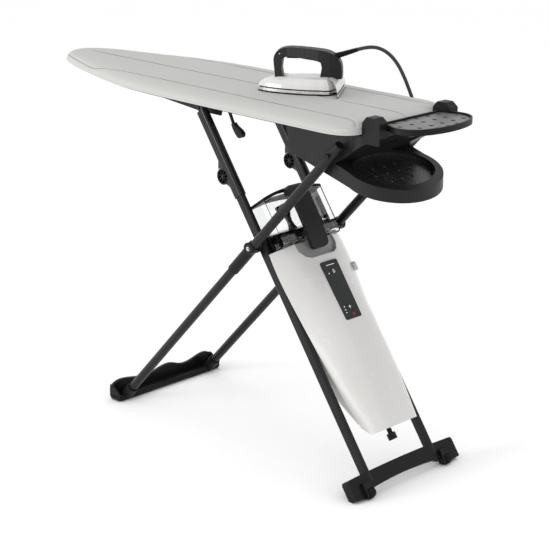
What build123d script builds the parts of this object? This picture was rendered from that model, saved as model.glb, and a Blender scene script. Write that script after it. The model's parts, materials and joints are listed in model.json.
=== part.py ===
"""Folding ironing table with a steam generator in its inner leg frame.

Millimetres. +Z up, floor at Z = 0, X along the board (nose at -X, iron rest at
+X), Y across it. The origin is on the floor under the middle of the table.
"""
from build123d import *
import math
import os

os.makedirs("parts", exist_ok=True)

# ---- driving dimensions -------------------------------------------------
H = 962.0                     # top of the cover
COVER_T = 34.0                # cover and skirt height
NOSE_X = -730.0
TAIL_X = 590.0
BOARD_HW = 203.0              # half width of the board
CX, CZ = 203.8, 575.9         # leg crossing
ANG_A = 46.58                 # outer legs, from the floor
ANG_B = 54.73                 # inner legs, from the floor
ARM = 405.0                   # crossing to either upper pivot
YA = 160.3                    # outer tubes
YB = 123.6                    # inner tubes
TUBE_A = 25.0
OV_N, OV_Y = 30.0, 18.0       # inner tube section
SL_N, SL_Y = 36.0, 24.0       # upper sleeve section
AXLE_D = 12.0
RUN = 0.05                    # radial running clearance
CASTER_D = 28.0
ROLLER_D = 44.0
HOSE_D = 9.5
LV = (113.0, 936.0)            # release lever pivot (x, z)

a_rad, b_rad = math.radians(ANG_A), math.radians(ANG_B)
ua = (math.cos(a_rad), math.sin(a_rad))            # outer leg, upwards (x, z)
sb = (math.cos(b_rad), -math.sin(b_rad))           # inner leg, downwards
nb = (math.sin(b_rad), math.cos(b_rad))            # inner frame, front normal
PA = (CX + ARM * ua[0], CZ + ARM * ua[1])          # outer leg upper pivot
PB = (CX - ARM * sb[0], CZ - ARM * sb[1])          # inner leg upper slider

# local frames: (along leg, Y, normal)
PL_B = Plane(origin=(CX, 0, CZ), x_dir=(sb[0], 0, sb[1]), z_dir=(nb[0], 0, nb[1]))
XZ_C = Plane(origin=(CX, 0, CZ), x_dir=(sb[0], 0, sb[1]), z_dir=(0, 1, 0))
# in XZ_C local x is along the inner leg downwards, local y is -normal


def loc_b(s, y, n):
    """Point of the inner leg frame in the model frame."""
    return (CX + s * sb[0] + n * nb[0], y, CZ + s * sb[1] + n * nb[1])


def leg_b(s):
    """Section plane of the inner legs at distance s; local (Y, -normal), facing up the leg."""
    p = loc_b(s, 0, 0)
    return Plane(origin=p, x_dir=(0, 1, 0), z_dir=(-sb[0], 0, -sb[1]))


def leg_a(t):
    """Cross-section plane of the outer legs at distance t above the crossing."""
    return Plane(origin=(CX + t * ua[0], 0, CZ + t * ua[1]), x_dir=(0, 1, 0),
                 z_dir=(ua[0], 0, ua[1]))


def at_y(y):
    """Plane across the table at Y = y, facing -Y; local (x, z)."""
    return Plane(origin=(0, y, 0), x_dir=(1, 0, 0), z_dir=(0, -1, 0))


# ======================= board ==========================================
W_PTS = [(-703.6, 46), (-650.8, 78), (-571.6, 108.5), (-439.6, 150),
         (-254.8, 191), (-43.6, 202), (194, BOARD_HW), (470, BOARD_HW)]


def outline(d):
    """Board outline drawn d inside the cover edge."""
    with BuildSketch(Plane.XY, mode=Mode.PRIVATE) as sk:
      with BuildLine():
        far = [(x if x > -600 else x + d * 0.5, w - d) for x, w in W_PTS]
        pts = [(x, -w) for x, w in reversed(far)] + [(NOSE_X + d, 0)] + far
        Spline(pts, tangents=[(-1, 0), (1, 0)])
        Spline([(470, BOARD_HW - d), (545, 181 - d), (579 - d * 0.7, 140 - d * 0.4), (TAIL_X - d, 92)],
               tangents=[(1, 0), (0, -1)])
        Line((TAIL_X - d, 92), (TAIL_X - d, -92))
        Spline([(TAIL_X - d, -92), (579 - d * 0.7, -140 + d * 0.4), (545, -181 + d), (470, -BOARD_HW + d)],
               tangents=[(0, -1), (-1, 0)])
      make_face()
    return sk.sketch_local


# cover: fabric top and skirt, open underneath, notched at the rest posts
with BuildPart() as cover:
    with BuildSketch(Plane.XY.offset(H - COVER_T)):
        add(outline(0))
    extrude(amount=COVER_T)
    top_edges = cover.edges().filter_by_position(Axis.Z, H - 0.01, H + 0.01)
    fillet(top_edges, radius=12.0)
    with BuildSketch(Plane.XY.offset(H - COVER_T - 1)):
        add(outline(4.5))
    extrude(amount=COVER_T - 4.0, mode=Mode.SUBTRACT)
    with BuildSketch(Plane.XY.offset(H - COVER_T - 2)):
        with Locations((605, 162), (605, -162)):
            Rectangle(82, 101)
    extrude(amount=60, mode=Mode.SUBTRACT)
cover.part.label = "cover"
export_step(cover.part, "parts/cover.step")

# felt pad under the cover
with BuildPart() as felt_pad:
    with BuildSketch(Plane.XY.offset(949.2)):
        add(outline(14))
    extrude(amount=7.5)
    with BuildSketch(Plane.XY.offset(940)):
        with Locations((604, 162), (604, -162)):
            Rectangle(84, 103)
    extrude(amount=40, mode=Mode.SUBTRACT)
felt_pad.part.label = "felt_pad"
export_step(felt_pad.part, "parts/felt_pad.step")

# steel board panel, perforated so that air and steam pass through
with BuildPart() as board_panel:
    with BuildSketch(Plane.XY.offset(947.2)):
        add(outline(12))
    extrude(amount=1.8)
    with BuildSketch(Plane.XY.offset(940)):
        with Locations((-20, 0)):
            with GridLocations(62, 58, 15, 5):
                Circle(7)
        with Locations((604, 162), (604, -162)):
            Rectangle(86, 105)
    extrude(amount=40, mode=Mode.SUBTRACT)
board_panel.part.label = "board_panel"
export_step(board_panel.part, "parts/board_panel.step")

# rim frame with cross members, under the panel
with BuildPart() as board_frame:
    with BuildSketch(Plane.XY.offset(930)):
        add(outline(9))
        with Locations((612, 162), (612, -162)):
            Rectangle(104, 107, mode=Mode.SUBTRACT)
    extrude(amount=17)
    with BuildSketch(Plane.XY.offset(929)):
        add(outline(24))
    extrude(amount=19, mode=Mode.SUBTRACT)
    with BuildSketch(Plane.XY.offset(930)):
        with Locations((-520, 0)):
            Rectangle(18, 216)
        with Locations((-300, 0)):
            Rectangle(18, 332)
        with Locations((60, 0)):
            Rectangle(18, 366)
        with Locations((290, 0)):
            Rectangle(18, 366)
        with Locations((535, 0)):
            Rectangle(18, 216)
        with Locations((415, 112), (415, -112)):
            Rectangle(235, 16)
    extrude(amount=17)
    # fork and pin of the release lever
    with BuildSketch(at_y(-142)):
        with Locations((113, 937.5)):
            Rectangle(26, 18.8)
    extrude(amount=-3)
    with BuildSketch(at_y(-155)):
        with Locations((113, 937.5)):
            Rectangle(26, 18.8)
    extrude(amount=3)
    with BuildSketch(Plane.XY.offset(943.6)):
        with Locations((113, -149)):
            Rectangle(26, 18)
    extrude(amount=3.3)
    with BuildSketch(at_y(-139.5)):
        with Locations(LV):
            Circle(3)
    extrude(amount=18)
board_frame.part.label = "board_frame"
export_step(board_frame.part, "parts/board_frame.step")

# slide rails: slotted side plates under the frame, parallel to PA-PB
rail_dir = ((PB[0] - PA[0]) / math.hypot(PB[0] - PA[0], PB[1] - PA[1]),
            (PB[1] - PA[1]) / math.hypot(PB[0] - PA[0], PB[1] - PA[1]))
RAIL_BACK, RAIL_RUN = 24.0, 236.0


def rail_plate(y0):
    with BuildPart() as piece:
        with BuildSketch(at_y(y0)):
            with BuildLine():
                Polyline((-285, 946.8), (34, 946.8), (34, 929.8), (20, 886), (-60, 886),
                         (-250, 903), (-285, 929.8), close=True)
            make_face()
            c = (PB[0] + rail_dir[0] * (RAIL_RUN - RAIL_BACK) / 2,
                 PB[1] + rail_dir[1] * (RAIL_RUN - RAIL_BACK) / 2)
            with Locations(c):
                SlotOverall(RAIL_RUN + RAIL_BACK + 12.6, 12.8,
                            rotation=math.degrees(math.atan2(rail_dir[1], rail_dir[0])), mode=Mode.SUBTRACT)
        extrude(amount=4)
    return piece.part


rail_near, rail_far = rail_plate(-94), rail_plate(98)
with BuildPart() as slide_rails:
    add(rail_near)
    add(rail_far)
slide_rails.part.label = "slide_rails"
export_step(slide_rails.part, "parts/slide_rails.step")

# ======================= housing under the tail ==========================
# side profile: front edge, sloping underside, low tray rim, wall up to the rest
BOT = lambda x: 847 - 0.268 * (x - 322)
RIM = lambda x: 823.5 - 0.305 * (x - 545)
HS_Y = 139.0
with BuildPart() as housing_shell:
    with BuildSketch(Plane.XY.offset(740)):
        with Locations((423, 0)):
            Rectangle(244, 2 * HS_Y)
        with Locations((545, 0)):
            Ellipse(105, 142)
        with Locations((575, 0)):
            Rectangle(60, 2 * 112)
    extrude(amount=210)
    with BuildSketch(at_y(-200)):
        with BuildLine():
            Polyline((301, 927.7), (322, BOT(322)), (652, BOT(652)), (652, RIM(652)), (474, RIM(474)),
                     (520, 874), (584, 918), (612, 929.7), (612, 944.7), (594.5, 944.7),
                     (594.5, 927.7), close=True)
        make_face()
    extrude(amount=-400, mode=Mode.INTERSECT)
    # tray bowl, floor parallel to the rim
    tray_pl = Plane(origin=(545, 0, RIM(545)), x_dir=(1, 0, -0.305), z_dir=(0.305, 0, 1))
    with BuildSketch(tray_pl.offset(60)):
        Ellipse(86.5, 122.5)
    extrude(amount=-86, mode=Mode.SUBTRACT)
    # hollow fan room
    with BuildSketch(at_y(-(HS_Y - 3))):
        with BuildLine():
            Polyline((305, 931), (325.5, 850.5), (446, 818.5), (446, 860), (500, 888), (560, 931), close=True)
        make_face()
    extrude(amount=-2 * (HS_Y - 3), mode=Mode.SUBTRACT)
    # access opening in the underside, along the slope
    with BuildSketch(Plane.XY.offset(740)):
        with Locations((387, 0)):
            Rectangle(96, 190)
    extrude(amount=115, mode=Mode.SUBTRACT)
    # shoulders beside the rest posts
    with BuildSketch(Plane.XY.offset(929.9)):
        with Locations((610, 140), (610, -140)):
            Rectangle(100, 52.4)
    extrude(amount=30, mode=Mode.SUBTRACT)
    # bosses for the outer leg pivots
    with BuildSketch(at_y(-(HS_Y - 1))):
        with Locations(PA):
            Circle(17)
    extrude(amount=-14, mode=Mode.ADD)
    with BuildSketch(at_y(HS_Y - 1)):
        with Locations(PA):
            Circle(17)
    extrude(amount=14, mode=Mode.ADD)
    with BuildSketch(at_y(-(HS_Y + 1))):
        with Locations(PA):
            Circle(5)
    extrude(amount=-(2 * HS_Y + 2), mode=Mode.SUBTRACT)
    # hose gland hole
    with BuildSketch(at_y(HS_Y + 1)):
        with Locations((410, 880)):
            Circle(9)
    extrude(amount=6, mode=Mode.SUBTRACT)
housing_shell.part.label = "housing_shell"
export_step(housing_shell.part, "parts/housing_shell.step")

# air grille closing the underside
sl = math.atan(0.268)
gr_pl = Plane(origin=(387, 0, BOT(387)), x_dir=(math.cos(sl), 0, -math.sin(sl)),
              z_dir=(math.sin(sl), 0, math.cos(sl)))
with BuildPart() as housing_grille:
    with BuildSketch(gr_pl):
        RectangleRounded(98, 189, 4)
        with GridLocations(12, 58, 7, 3):
            SlotOverall(50, 6, rotation=90, mode=Mode.SUBTRACT)
    extrude(amount=3)
    with BuildSketch(Plane.XY.offset(760)):
        with Locations((387, 0)):
            Rectangle(95.4, 189.4)
    extrude(amount=120, mode=Mode.INTERSECT)
housing_grille.part.label = "housing_grille"
export_step(housing_grille.part, "parts/housing_grille.step")

# blower motor hanging from a bracket plate under the frame
FAN = (376.0, -8.0)
with BuildPart() as fan_motor:
    with BuildSketch(Plane.XY.offset(925)):
        with Locations(FAN):
            Rectangle(120, 210)
            Circle(30, mode=Mode.SUBTRACT)
    extrude(amount=4.8)
    with BuildSketch(Plane.XY.offset(896)):
        with Locations(FAN):
            Circle(27)
    extrude(amount=30)
    with BuildSketch(Plane.XY.offset(925)):
        with Locations(FAN):
            Rectangle(64, 12)
            Rectangle(12, 64)
    extrude(amount=4.8)
    with BuildSketch(Plane.XY.offset(862)):
        with Locations(FAN):
            Circle(3)
    extrude(amount=36)
fan_motor.part.label = "fan_motor"
export_step(fan_motor.part, "parts/fan_motor.step")

# centrifugal impeller on the motor shaft
with BuildPart() as fan_impeller:
    with BuildSketch(Plane.XY.offset(864)):
        with Locations(FAN):
            Circle(46)
            Circle(3 + RUN, mode=Mode.SUBTRACT)
    extrude(amount=2)
    with BuildSketch(Plane.XY.offset(866)):
        with Locations(FAN):
            Circle(9)
            Circle(3 + RUN, mode=Mode.SUBTRACT)
    extrude(amount=16)
    with BuildSketch(Plane.XY.offset(866)):
        with Locations(FAN):
            with PolarLocations(39, 18):
                Rectangle(11, 1.6, rotation=35)
    extrude(amount=24)
    with BuildSketch(Plane.XY.offset(890)):
        with Locations(FAN):
            Circle(46)
            Circle(33, mode=Mode.SUBTRACT)
    extrude(amount=1.6)
fan_impeller.part.label = "fan_impeller"
export_step(fan_impeller.part, "parts/fan_impeller.step")

# lining dish of the storage tray, with raised drip studs
with BuildPart() as tray_liner:
    with BuildSketch(tray_pl.offset(-25.8)):
        Ellipse(86.1, 122.1)
    extrude(amount=10.6)
    with BuildSketch(tray_pl.offset(-25.8)):
        Ellipse(86.1, 122.1)
        Ellipse(84.1, 120.1, mode=Mode.SUBTRACT)
    extrude(amount=20)
    with BuildSketch(tray_pl.offset(-15.4)):
        with Locations((-34, -40), (-34, 0), (-34, 40), (-2, -62), (-2, -20), (-2, 22), (-2, 64),
                       (32, -40), (32, 0), (32, 40)):
            Circle(4)
    extrude(amount=1.8)
tray_liner.part.label = "tray_liner"
export_step(tray_liner.part, "parts/tray_liner.step")


def rest_outline(d):
    """Plan of the iron rest, d inside its rim."""
    with BuildSketch(Plane.XY, mode=Mode.PRIVATE) as sk:
      with BuildLine():
        q = [(594 + d, 98 - d), (602, 107 - d), (621, 113 - d), (643, 122 - d), (672, 122.5 - d), (704 - d * 0.6, 101 - d * 0.7),
             (722 - d, 62 - d * 0.3), (730 - d, 0)]
        Spline(q + [(x, -y) for x, y in reversed(q[:-1])])
        Line((594 + d, -98 + d), (594 + d, 98 - d))
      make_face()
    return sk.sketch_local


# rim of the iron rest
with BuildPart() as rest_frame:
    with BuildSketch(Plane.XY.offset(945)):
        add(rest_outline(0))
    extrude(amount=15)
    with BuildSketch(Plane.XY.offset(953)):
        add(rest_outline(5))
    extrude(amount=20, mode=Mode.SUBTRACT)
    with BuildSketch(Plane.XY.offset(947.5)):
        add(rest_outline(11))
    extrude(amount=22, mode=Mode.SUBTRACT)
    with BuildSketch(Plane.XY.offset(946)):
        with Locations((611, 104), (611, -104)):
            Rectangle(14, 18)
    extrude(amount=6)
rest_frame.part.label = "rest_frame"
export_step(rest_frame.part, "parts/rest_frame.step")

# perforated rest plate lying in the rim
HOLES = [(605, -74), (606, -34), (607, 6), (608, 46), (610, 84),
         (640, -92), (643, -52), (644, -12), (645, 28), (647, 68), (649, 104),
         (681, -68), (682, -28), (683, 12), (684, 52), (684, 90), (711, -36), (712, 0), (711, 36)]
with BuildPart() as rest_plate:
    with BuildSketch(Plane.XY.offset(953.2)):
        add(rest_outline(5.6))
        with Locations(*HOLES):
            Circle(4.6, mode=Mode.SUBTRACT)
    extrude(amount=2.2)
rest_plate.part.label = "rest_plate"
export_step(rest_plate.part, "parts/rest_plate.step")


def rest_post(sgn):
    with BuildPart() as piece:
        y0, y1 = sgn * 114.2, sgn * 144.0
        yc = (y0 + y1) / 2
        with BuildSketch(at_y(yc + 14.9)):
            with BuildLine():
                Polyline((566.5, 930.2), (622, 930.2), (622, 966), (606, 978), (580, 978), (566.5, 962), close=True)
            make_face()
            fillet(vertices().group_by(Axis.Y)[-1], radius=6)
        extrude(amount=29.8)
    return piece.part


# posts at the tail corners that hold the rest
post_near, post_far = rest_post(-1), rest_post(1)
with BuildPart() as rest_post_near:
    add(post_near)
    with BuildSketch(at_y(-140.6)):
        with Locations((594, 922)):
            RectangleRounded(54, 20, 4)
    extrude(amount=3.4)
rest_post_near.part.label = "rest_post_near"
export_step(rest_post_near.part, "parts/rest_post_near.step")
with BuildPart() as rest_post_far:
    add(post_far)
    with BuildSketch(at_y(144.0)):
        with Locations((594, 922)):
            RectangleRounded(54, 20, 4)
    extrude(amount=3.4)
rest_post_far.part.label = "rest_post_far"
export_step(rest_post_far.part, "parts/rest_post_far.step")

# pivot bolts of the outer legs
with BuildPart() as pivot_bolts:
    for sgn in (-1, 1):
        with BuildSketch(at_y(sgn * 127 if sgn < 0 else 176)):
            with Locations(PA):
                Circle(5)
        extrude(amount=49)
        with BuildSketch(at_y(-176 if sgn < 0 else 179)):
            with Locations(PA):
                Circle(8)
        extrude(amount=3)
pivot_bolts.part.label = "pivot_bolts"
export_step(pivot_bolts.part, "parts/pivot_bolts.step")

# release lever under the near edge of the board
with BuildPart() as release_lever:
    with BuildSketch(at_y(-146)):
        with Locations(LV):
            Circle(7)
        with BuildLine():
            Polyline((110.5, 930), (107.5, 916), (123.5, 885.5), (128.5, 888), (113.5, 917.5), (116.5, 930), close=True)
        make_face()
        with Locations(LV):
            Circle(3 + RUN, mode=Mode.SUBTRACT)
    extrude(amount=6)
    with BuildSketch(at_y(-142)):
        with BuildLine():
            Spline([(122.5, 889), (128, 878), (140, 863), (150, 856.5), (159, 859.5), (162, 868), (155, 876), (138, 885),
                    (129, 893)])
            Line((129, 893), (122.5, 889))
        make_face()
    extrude(amount=14)
release_lever.part.label = "release_lever"
export_step(release_lever.part, "parts/release_lever.step")

# ======================= outer legs ======================================
LOW_A, TOP_A = -775.0, 444.0


def outer_tube(y):
    """Outer leg tube with a closed, rounded top end."""
    with BuildPart() as piece:
        with BuildSketch(leg_a(LOW_A)):
            with Locations((y, 0)):
                Circle(TUBE_A / 2)
                Circle(TUBE_A / 2 - 1.5, mode=Mode.SUBTRACT)
        extrude(amount=TOP_A - LOW_A)
        with BuildSketch(leg_a(TOP_A - 2)):
            with Locations((y, 0)):
                Circle(TUBE_A / 2)
        extrude(amount=5)
        fillet(piece.edges().filter_by(GeomType.CIRCLE).sort_by(Axis.Z)[-1:], radius=2)
        with BuildSketch(at_y(y + 20)):
            with Locations(PA):
                Circle(5 + RUN)
            with Locations((CX, CZ)):
                Circle(AXLE_D / 2 + RUN)
        extrude(amount=40, mode=Mode.SUBTRACT)
    return piece.part


outer_tube_near = outer_tube(-YA)
outer_tube_near.label = "outer_tube_near"
export_step(outer_tube_near, "parts/outer_tube_near.step")
outer_tube_far = outer_tube(YA)
outer_tube_far.label = "outer_tube_far"
export_step(outer_tube_far, "parts/outer_tube_far.step")

# moulded pivot collars round the outer tubes at the crossing
with BuildPart() as pivot_collars:
    for y in (-YA, YA):
        with BuildSketch(leg_a(-104)):
            with Locations((y, 0)):
                Circle(15.6)
                Circle(TUBE_A / 2, mode=Mode.SUBTRACT)
        extrude(amount=116)
        with BuildSketch(at_y(y + 15.4)):
            with Locations((CX, CZ)):
                Circle(16.4)
        extrude(amount=30.8)
        with BuildSketch(leg_a(-120)):
            with Locations((y, 0)):
                Circle(TUBE_A / 2)
        extrude(amount=240, mode=Mode.SUBTRACT)
        with BuildSketch(at_y(y + 20)):
            with Locations((CX, CZ)):
                Circle(AXLE_D / 2 + RUN)
        extrude(amount=40, mode=Mode.SUBTRACT)
pivot_collars.part.label = "pivot_collars"
export_step(pivot_collars.part, "parts/pivot_collars.step")

# long foot shoe across the outer legs
FX0, FX1 = -362.0, -317.0
with BuildPart() as foot_shoe:
    with BuildSketch(Plane.XY.offset(4)):
        with Locations(((FX0 + FX1) / 2, 0)):
            RectangleRounded(FX1 - FX0, 397, 10)
    extrude(amount=9)
    # high back wall with a wavy crest: lobes at both ends and the middle
    with BuildSketch(Plane(origin=(FX0, 0, 0), x_dir=(0, 1, 0), z_dir=(1, 0, 0))):
        with BuildLine():
            Line((-196, 8), (196, 8))
            Line((196, 8), (196, 36))
            Spline([(196, 36), (178, 50), (150, 50), (110, 40), (70, 40), (38, 51), (0, 51),
                    (-40, 42), (-92, 43), (-130, 50), (-176, 50), (-196, 36)])
            Line((-196, 36), (-196, 8))
        make_face()
    extrude(amount=9)
    # front lip
    with BuildSketch(Plane.XY.offset(10)):
        with Locations((FX1 - 3.5, 0)):
            Rectangle(5, 378)
    extrude(amount=9)
    # cheek walls at the ends
    with BuildSketch(Plane.XZ.offset(196)):
        with BuildLine():
            Polyline((FX0 + 1, 8), (FX1 - 1, 8), (FX1 - 1, 19), (FX0 + 9, 44), (FX0 + 1, 44), close=True)
        make_face()
    extrude(amount=-6)
    with BuildSketch(Plane.XZ.offset(-190)):
        with BuildLine():
            Polyline((FX0 + 1, 8), (FX1 - 1, 8), (FX1 - 1, 19), (FX0 + 9, 44), (FX0 + 1, 44), close=True)
        make_face()
    extrude(amount=-6)
    # leg sockets
    with BuildSketch(leg_a(-788)):
        with Locations((-YA, 0), (YA, 0)):
            Circle(16.5)
    extrude(amount=58)
    with BuildSketch(leg_a(-775)):
        with Locations((-YA, 0), (YA, 0)):
            Circle(TUBE_A / 2)
    extrude(amount=90, mode=Mode.SUBTRACT)
    with BuildSketch(Plane.XY.offset(-60)):
        Rectangle(1200, 600)
    extrude(amount=64, mode=Mode.SUBTRACT)
foot_shoe.part.label = "foot_shoe"
export_step(foot_shoe.part, "parts/foot_shoe.step")

# rubber sole strips of the foot shoe
with BuildPart() as shoe_pads:
    with BuildSketch():
        with Locations(((FX0 + FX1) / 2, -130), ((FX0 + FX1) / 2, 130)):
            RectangleRounded(34, 110, 6)
    extrude(amount=4)
shoe_pads.part.label = "shoe_pads"
export_step(shoe_pads.part, "parts/shoe_pads.step")


# ======================= inner legs ======================================
def oval(y, n_len, y_len):
    """Flat-oval tube section at Y = y."""
    with BuildSketch(Plane.XY, mode=Mode.PRIVATE) as sk:
        with Locations((y, 0)):
            SlotOverall(n_len, y_len, rotation=90)
    return sk.sketch_local


def inner_tube(y):
    with BuildPart() as piece:
        with BuildSketch(leg_b(672)):
            add(oval(y, OV_N, OV_Y))
            with Locations((y, 0)):
                SlotOverall(OV_N - 3, OV_Y - 3, rotation=90, mode=Mode.SUBTRACT)
        extrude(amount=838)
        with BuildSketch(at_y(y + 20)):
            with Locations((CX, CZ)):
                Circle(AXLE_D / 2)
        extrude(amount=40, mode=Mode.SUBTRACT)
    return piece.part


inner_tube_near = inner_tube(-YB)
inner_tube_near.label = "inner_tube_near"
export_step(inner_tube_near, "parts/inner_tube_near.step")
inner_tube_far = inner_tube(YB)
inner_tube_far.label = "inner_tube_far"
export_step(inner_tube_far, "parts/inner_tube_far.step")

ROL_S, ROL_N = -211.0, -24.0
rol = loc_b(ROL_S, 0, ROL_N)


def roller_plane(y):
    """Plane of the transport rollers at Y = y, facing -Y; local (along the leg, normal)."""
    return Plane(origin=(rol[0], y, rol[2]), x_dir=(sb[0], 0, sb[1]), z_dir=(0, -1, 0))


def upper_sleeve(y):
    with BuildPart() as piece:
        with BuildSketch(leg_b(-141)):
            add(oval(y, SL_N, SL_Y))
        extrude(amount=252)
        # slimmer head that carries the slider bar
        with BuildSketch(leg_b(-385)):
            add(oval(y, 24, 14))
        extrude(amount=32)
        # cheek of the transport roller, with gussets to the sleeve
        with BuildSketch(roller_plane(y + 12)):
            with BuildLine():
                Polyline((-52, 16), (-22, -6), (-18, -12), (12, -18), (34, -4), (40, 16), close=True)
            make_face()
            Circle(18.5)
        extrude(amount=6.8)
        with BuildSketch(roller_plane(y + 8)):
            with BuildLine():
                Polyline((-52, 16), (-24, -4), (-24, 16), close=True)
                Polyline((24, -12), (36, -4), (40, 16), (24, 16), close=True)
            make_face()
        extrude(amount=16)
        # notch for the wheel, open to the near side
        with BuildSketch(roller_plane(y + 5.2)):
            Circle(ROLLER_D / 2 + 1.5)
        extrude(amount=18, mode=Mode.SUBTRACT)
        with BuildSketch(roller_plane(y + 12)):
            Circle(3)
        extrude(amount=21)
        # socket for the lower tube, and the slider bar hole
        with BuildSketch(leg_b(-130)):
            add(oval(y, OV_N, OV_Y))
        extrude(amount=46, mode=Mode.SUBTRACT)
        with BuildSketch(at_y(y + 20)):
            with Locations(PB):
                Circle(6)
        extrude(amount=40, mode=Mode.SUBTRACT)
    return piece.part


upper_sleeve_near = upper_sleeve(-YB)
upper_sleeve_near.label = "upper_sleeve_near"
export_step(upper_sleeve_near, "parts/upper_sleeve_near.step")
upper_sleeve_far = upper_sleeve(YB)
upper_sleeve_far.label = "upper_sleeve_far"
export_step(upper_sleeve_far, "parts/upper_sleeve_far.step")


# spoked transport rollers
def roller(y):
    with BuildPart() as piece:
        with BuildSketch(roller_plane(y + 4)):
            Circle(ROLLER_D / 2)
            Circle(ROLLER_D / 2 - 4.5, mode=Mode.SUBTRACT)
            Circle(6.5)
            with PolarLocations(0, 8):
                with Locations((12, 0)):
                    Rectangle(13, 2.4)
            Circle(3 + RUN, mode=Mode.SUBTRACT)
        extrude(amount=12)
    return piece.part


roller_near = roller(-YB)
roller_near.label = "roller_near"
export_step(roller_near, "parts/roller_near.step")
roller_far = roller(YB)
roller_far.label = "roller_far"
export_step(roller_far, "parts/roller_far.step")

# slider bar between the sleeve heads, running in the rail slots
with BuildPart() as slider_bar:
    with BuildSketch(at_y(134)):
        with Locations(PB):
            Circle(6)
    extrude(amount=268)
slider_bar.part.label = "slider_bar"
export_step(slider_bar.part, "parts/slider_bar.step")

# cross axle through both leg pairs
with BuildPart() as cross_axle:
    with BuildSketch(at_y(176.4)):
        with Locations((CX, CZ)):
            Circle(AXLE_D / 2)
    extrude(amount=352.8)
    with BuildSketch(at_y(178.6)):
        with Locations((CX, CZ)):
            Circle(3.4)
    extrude(amount=2.2)
    with BuildSketch(at_y(-176.4)):
        with Locations((CX, CZ)):
            Circle(3.4)
    extrude(amount=2.2)
cross_axle.part.label = "cross_axle"
export_step(cross_axle.part, "parts/cross_axle.step")

# tank cradle on the axle, between the inner tubes
with BuildPart() as tank_cradle:
    with BuildSketch(XZ_C.offset(-112)):
        with BuildLine():
            Polyline((-15, 24), (33, 24), (33, -15.5), (-6, -15.5), (-15, -9), close=True)
        make_face()
        fillet(vertices(), radius=3)
        Circle(AXLE_D / 2, mode=Mode.SUBTRACT)
    extrude(amount=224)
tank_cradle.part.label = "tank_cradle"
export_step(tank_cradle.part, "parts/tank_cradle.step")

# lower foot beam with caster forks
CAS_S, CAS_N, CAS_Y = 697.4, 13.0, 149.8
cas = (617.0, 14.0)
with BuildPart() as foot_beam:
    with BuildSketch(PL_B.offset(-12)):
        with BuildLine():
            ThreePointArc((648, -198), (643, 0), (648, 198))
            Line((648, 198), (655, 202))
            Line((655, 202), (703, 202))
            Line((703, 202), (706, 168))
            Line((706, 168), (688, 122))
            ThreePointArc((688, 122), (683, 0), (688, -122))
            Line((688, -122), (706, -168))
            Line((706, -168), (703, -202))
            Line((703, -202), (655, -202))
            Line((655, -202), (648, -198))
        make_face()
    extrude(amount=26)
    for y in (-CAS_Y, CAS_Y):
        with BuildSketch(at_y(y + 16)):
            with Locations(cas):
                Circle(11)
            with BuildLine():
                Polyline((cas[0] - 9.5, cas[1] - 3), (cas[0] - 26, 34), (cas[0] - 8, 44), (cas[0] + 9.5, cas[1] + 3), close=True)
            make_face()
        extrude(amount=32)
        with BuildSketch(at_y(y + 10)):
            with Locations(cas):
                Circle(CASTER_D / 2 + 1.2)
        extrude(amount=20, mode=Mode.SUBTRACT)
        with BuildSketch(at_y(y + 16)):
            with Locations(cas):
                Circle(3)
        extrude(amount=32)
    with BuildSketch(Plane.XY.offset(-60)):
        with Locations((600, 0)):
            Rectangle(300, 600)
    extrude(amount=61.5, mode=Mode.SUBTRACT)
    with BuildSketch(leg_b(672)):
        add(oval(-YB, OV_N, OV_Y))
        add(oval(YB, OV_N, OV_Y))
    extrude(amount=60, mode=Mode.SUBTRACT)
foot_beam.part.label = "foot_beam"
export_step(foot_beam.part, "parts/foot_beam.step")

def caster(y):
    with BuildPart() as piece:
        with BuildSketch(at_y(y + 8)):
            with Locations(cas):
                Circle(CASTER_D / 2)
                Circle(3 + RUN, mode=Mode.SUBTRACT)
        extrude(amount=16)
        chamfer(piece.edges().filter_by(GeomType.CIRCLE).group_by(SortBy.RADIUS)[-1], 1.2)
    return piece.part


caster_near = caster(-CAS_Y)
caster_near.label = "caster_near"
export_step(caster_near, "parts/caster_near.step")
caster_far = caster(CAS_Y)
caster_far.label = "caster_far"
export_step(caster_far, "parts/caster_far.step")

# ======================= steam generator =================================
# front casing sections: distance s, then half section points (y, n)
PART_N = 16.5
SECT = [
    (34, [(132, PART_N), (112, 32), (80, 50), (42, 63), (0, 67)]),
    (110, [(135, PART_N), (115, 33), (83, 52), (44, 66), (0, 70)]),
    (200, [(129, PART_N), (113, 31), (84, 52), (45, 68), (0, 73)]),
    (300, [(119, PART_N), (110, 31), (85, 54), (46, 71), (0, 75)]),
    (400, [(108, PART_N), (106, 34), (84, 56), (45, 71), (0, 75)]),
    (480, [(96, PART_N), (96, 41), (77, 59), (42, 70), (0, 74)]),
    (566, [(80, PART_N), (80, 52), (64, 62), (34, 68), (0, 70)]),
]


def casing_section(s, pts, t):
    """One closed section of the front casing, t inside its outer skin."""
    k = [(max(y - t, 0) if y else 0, n - t if n > PART_N else n) for y, n in pts]
    with BuildSketch(Plane(origin=loc_b(s, 0, 0), x_dir=(0, 1, 0), z_dir=(sb[0], 0, sb[1])),
                     mode=Mode.PRIVATE) as sk:
        with BuildLine():
            full = [(-y, n) for y, n in k[:-1]] + [k[-1]] + [(y, n) for y, n in reversed(k[:-1])]
            Spline(full)
            Line(full[-1], full[0])
        make_face()
    return sk.sketch


def scoop_plan(d):
    """Plan of the scoop at the top of the casing, d inside its wall; local (s, Y)."""
    with BuildSketch(Plane.XY, mode=Mode.PRIVATE) as sk:
        with BuildLine():
            Polyline((20, -70 + d), (20, 70 - d), (56, 70 - d), (76, 58 - d), (85 - d, 40), (85 - d, -40), (76, -58 + d),
                     (56, -70 + d), close=True)
        make_face()
    return sk.sketch_local


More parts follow.
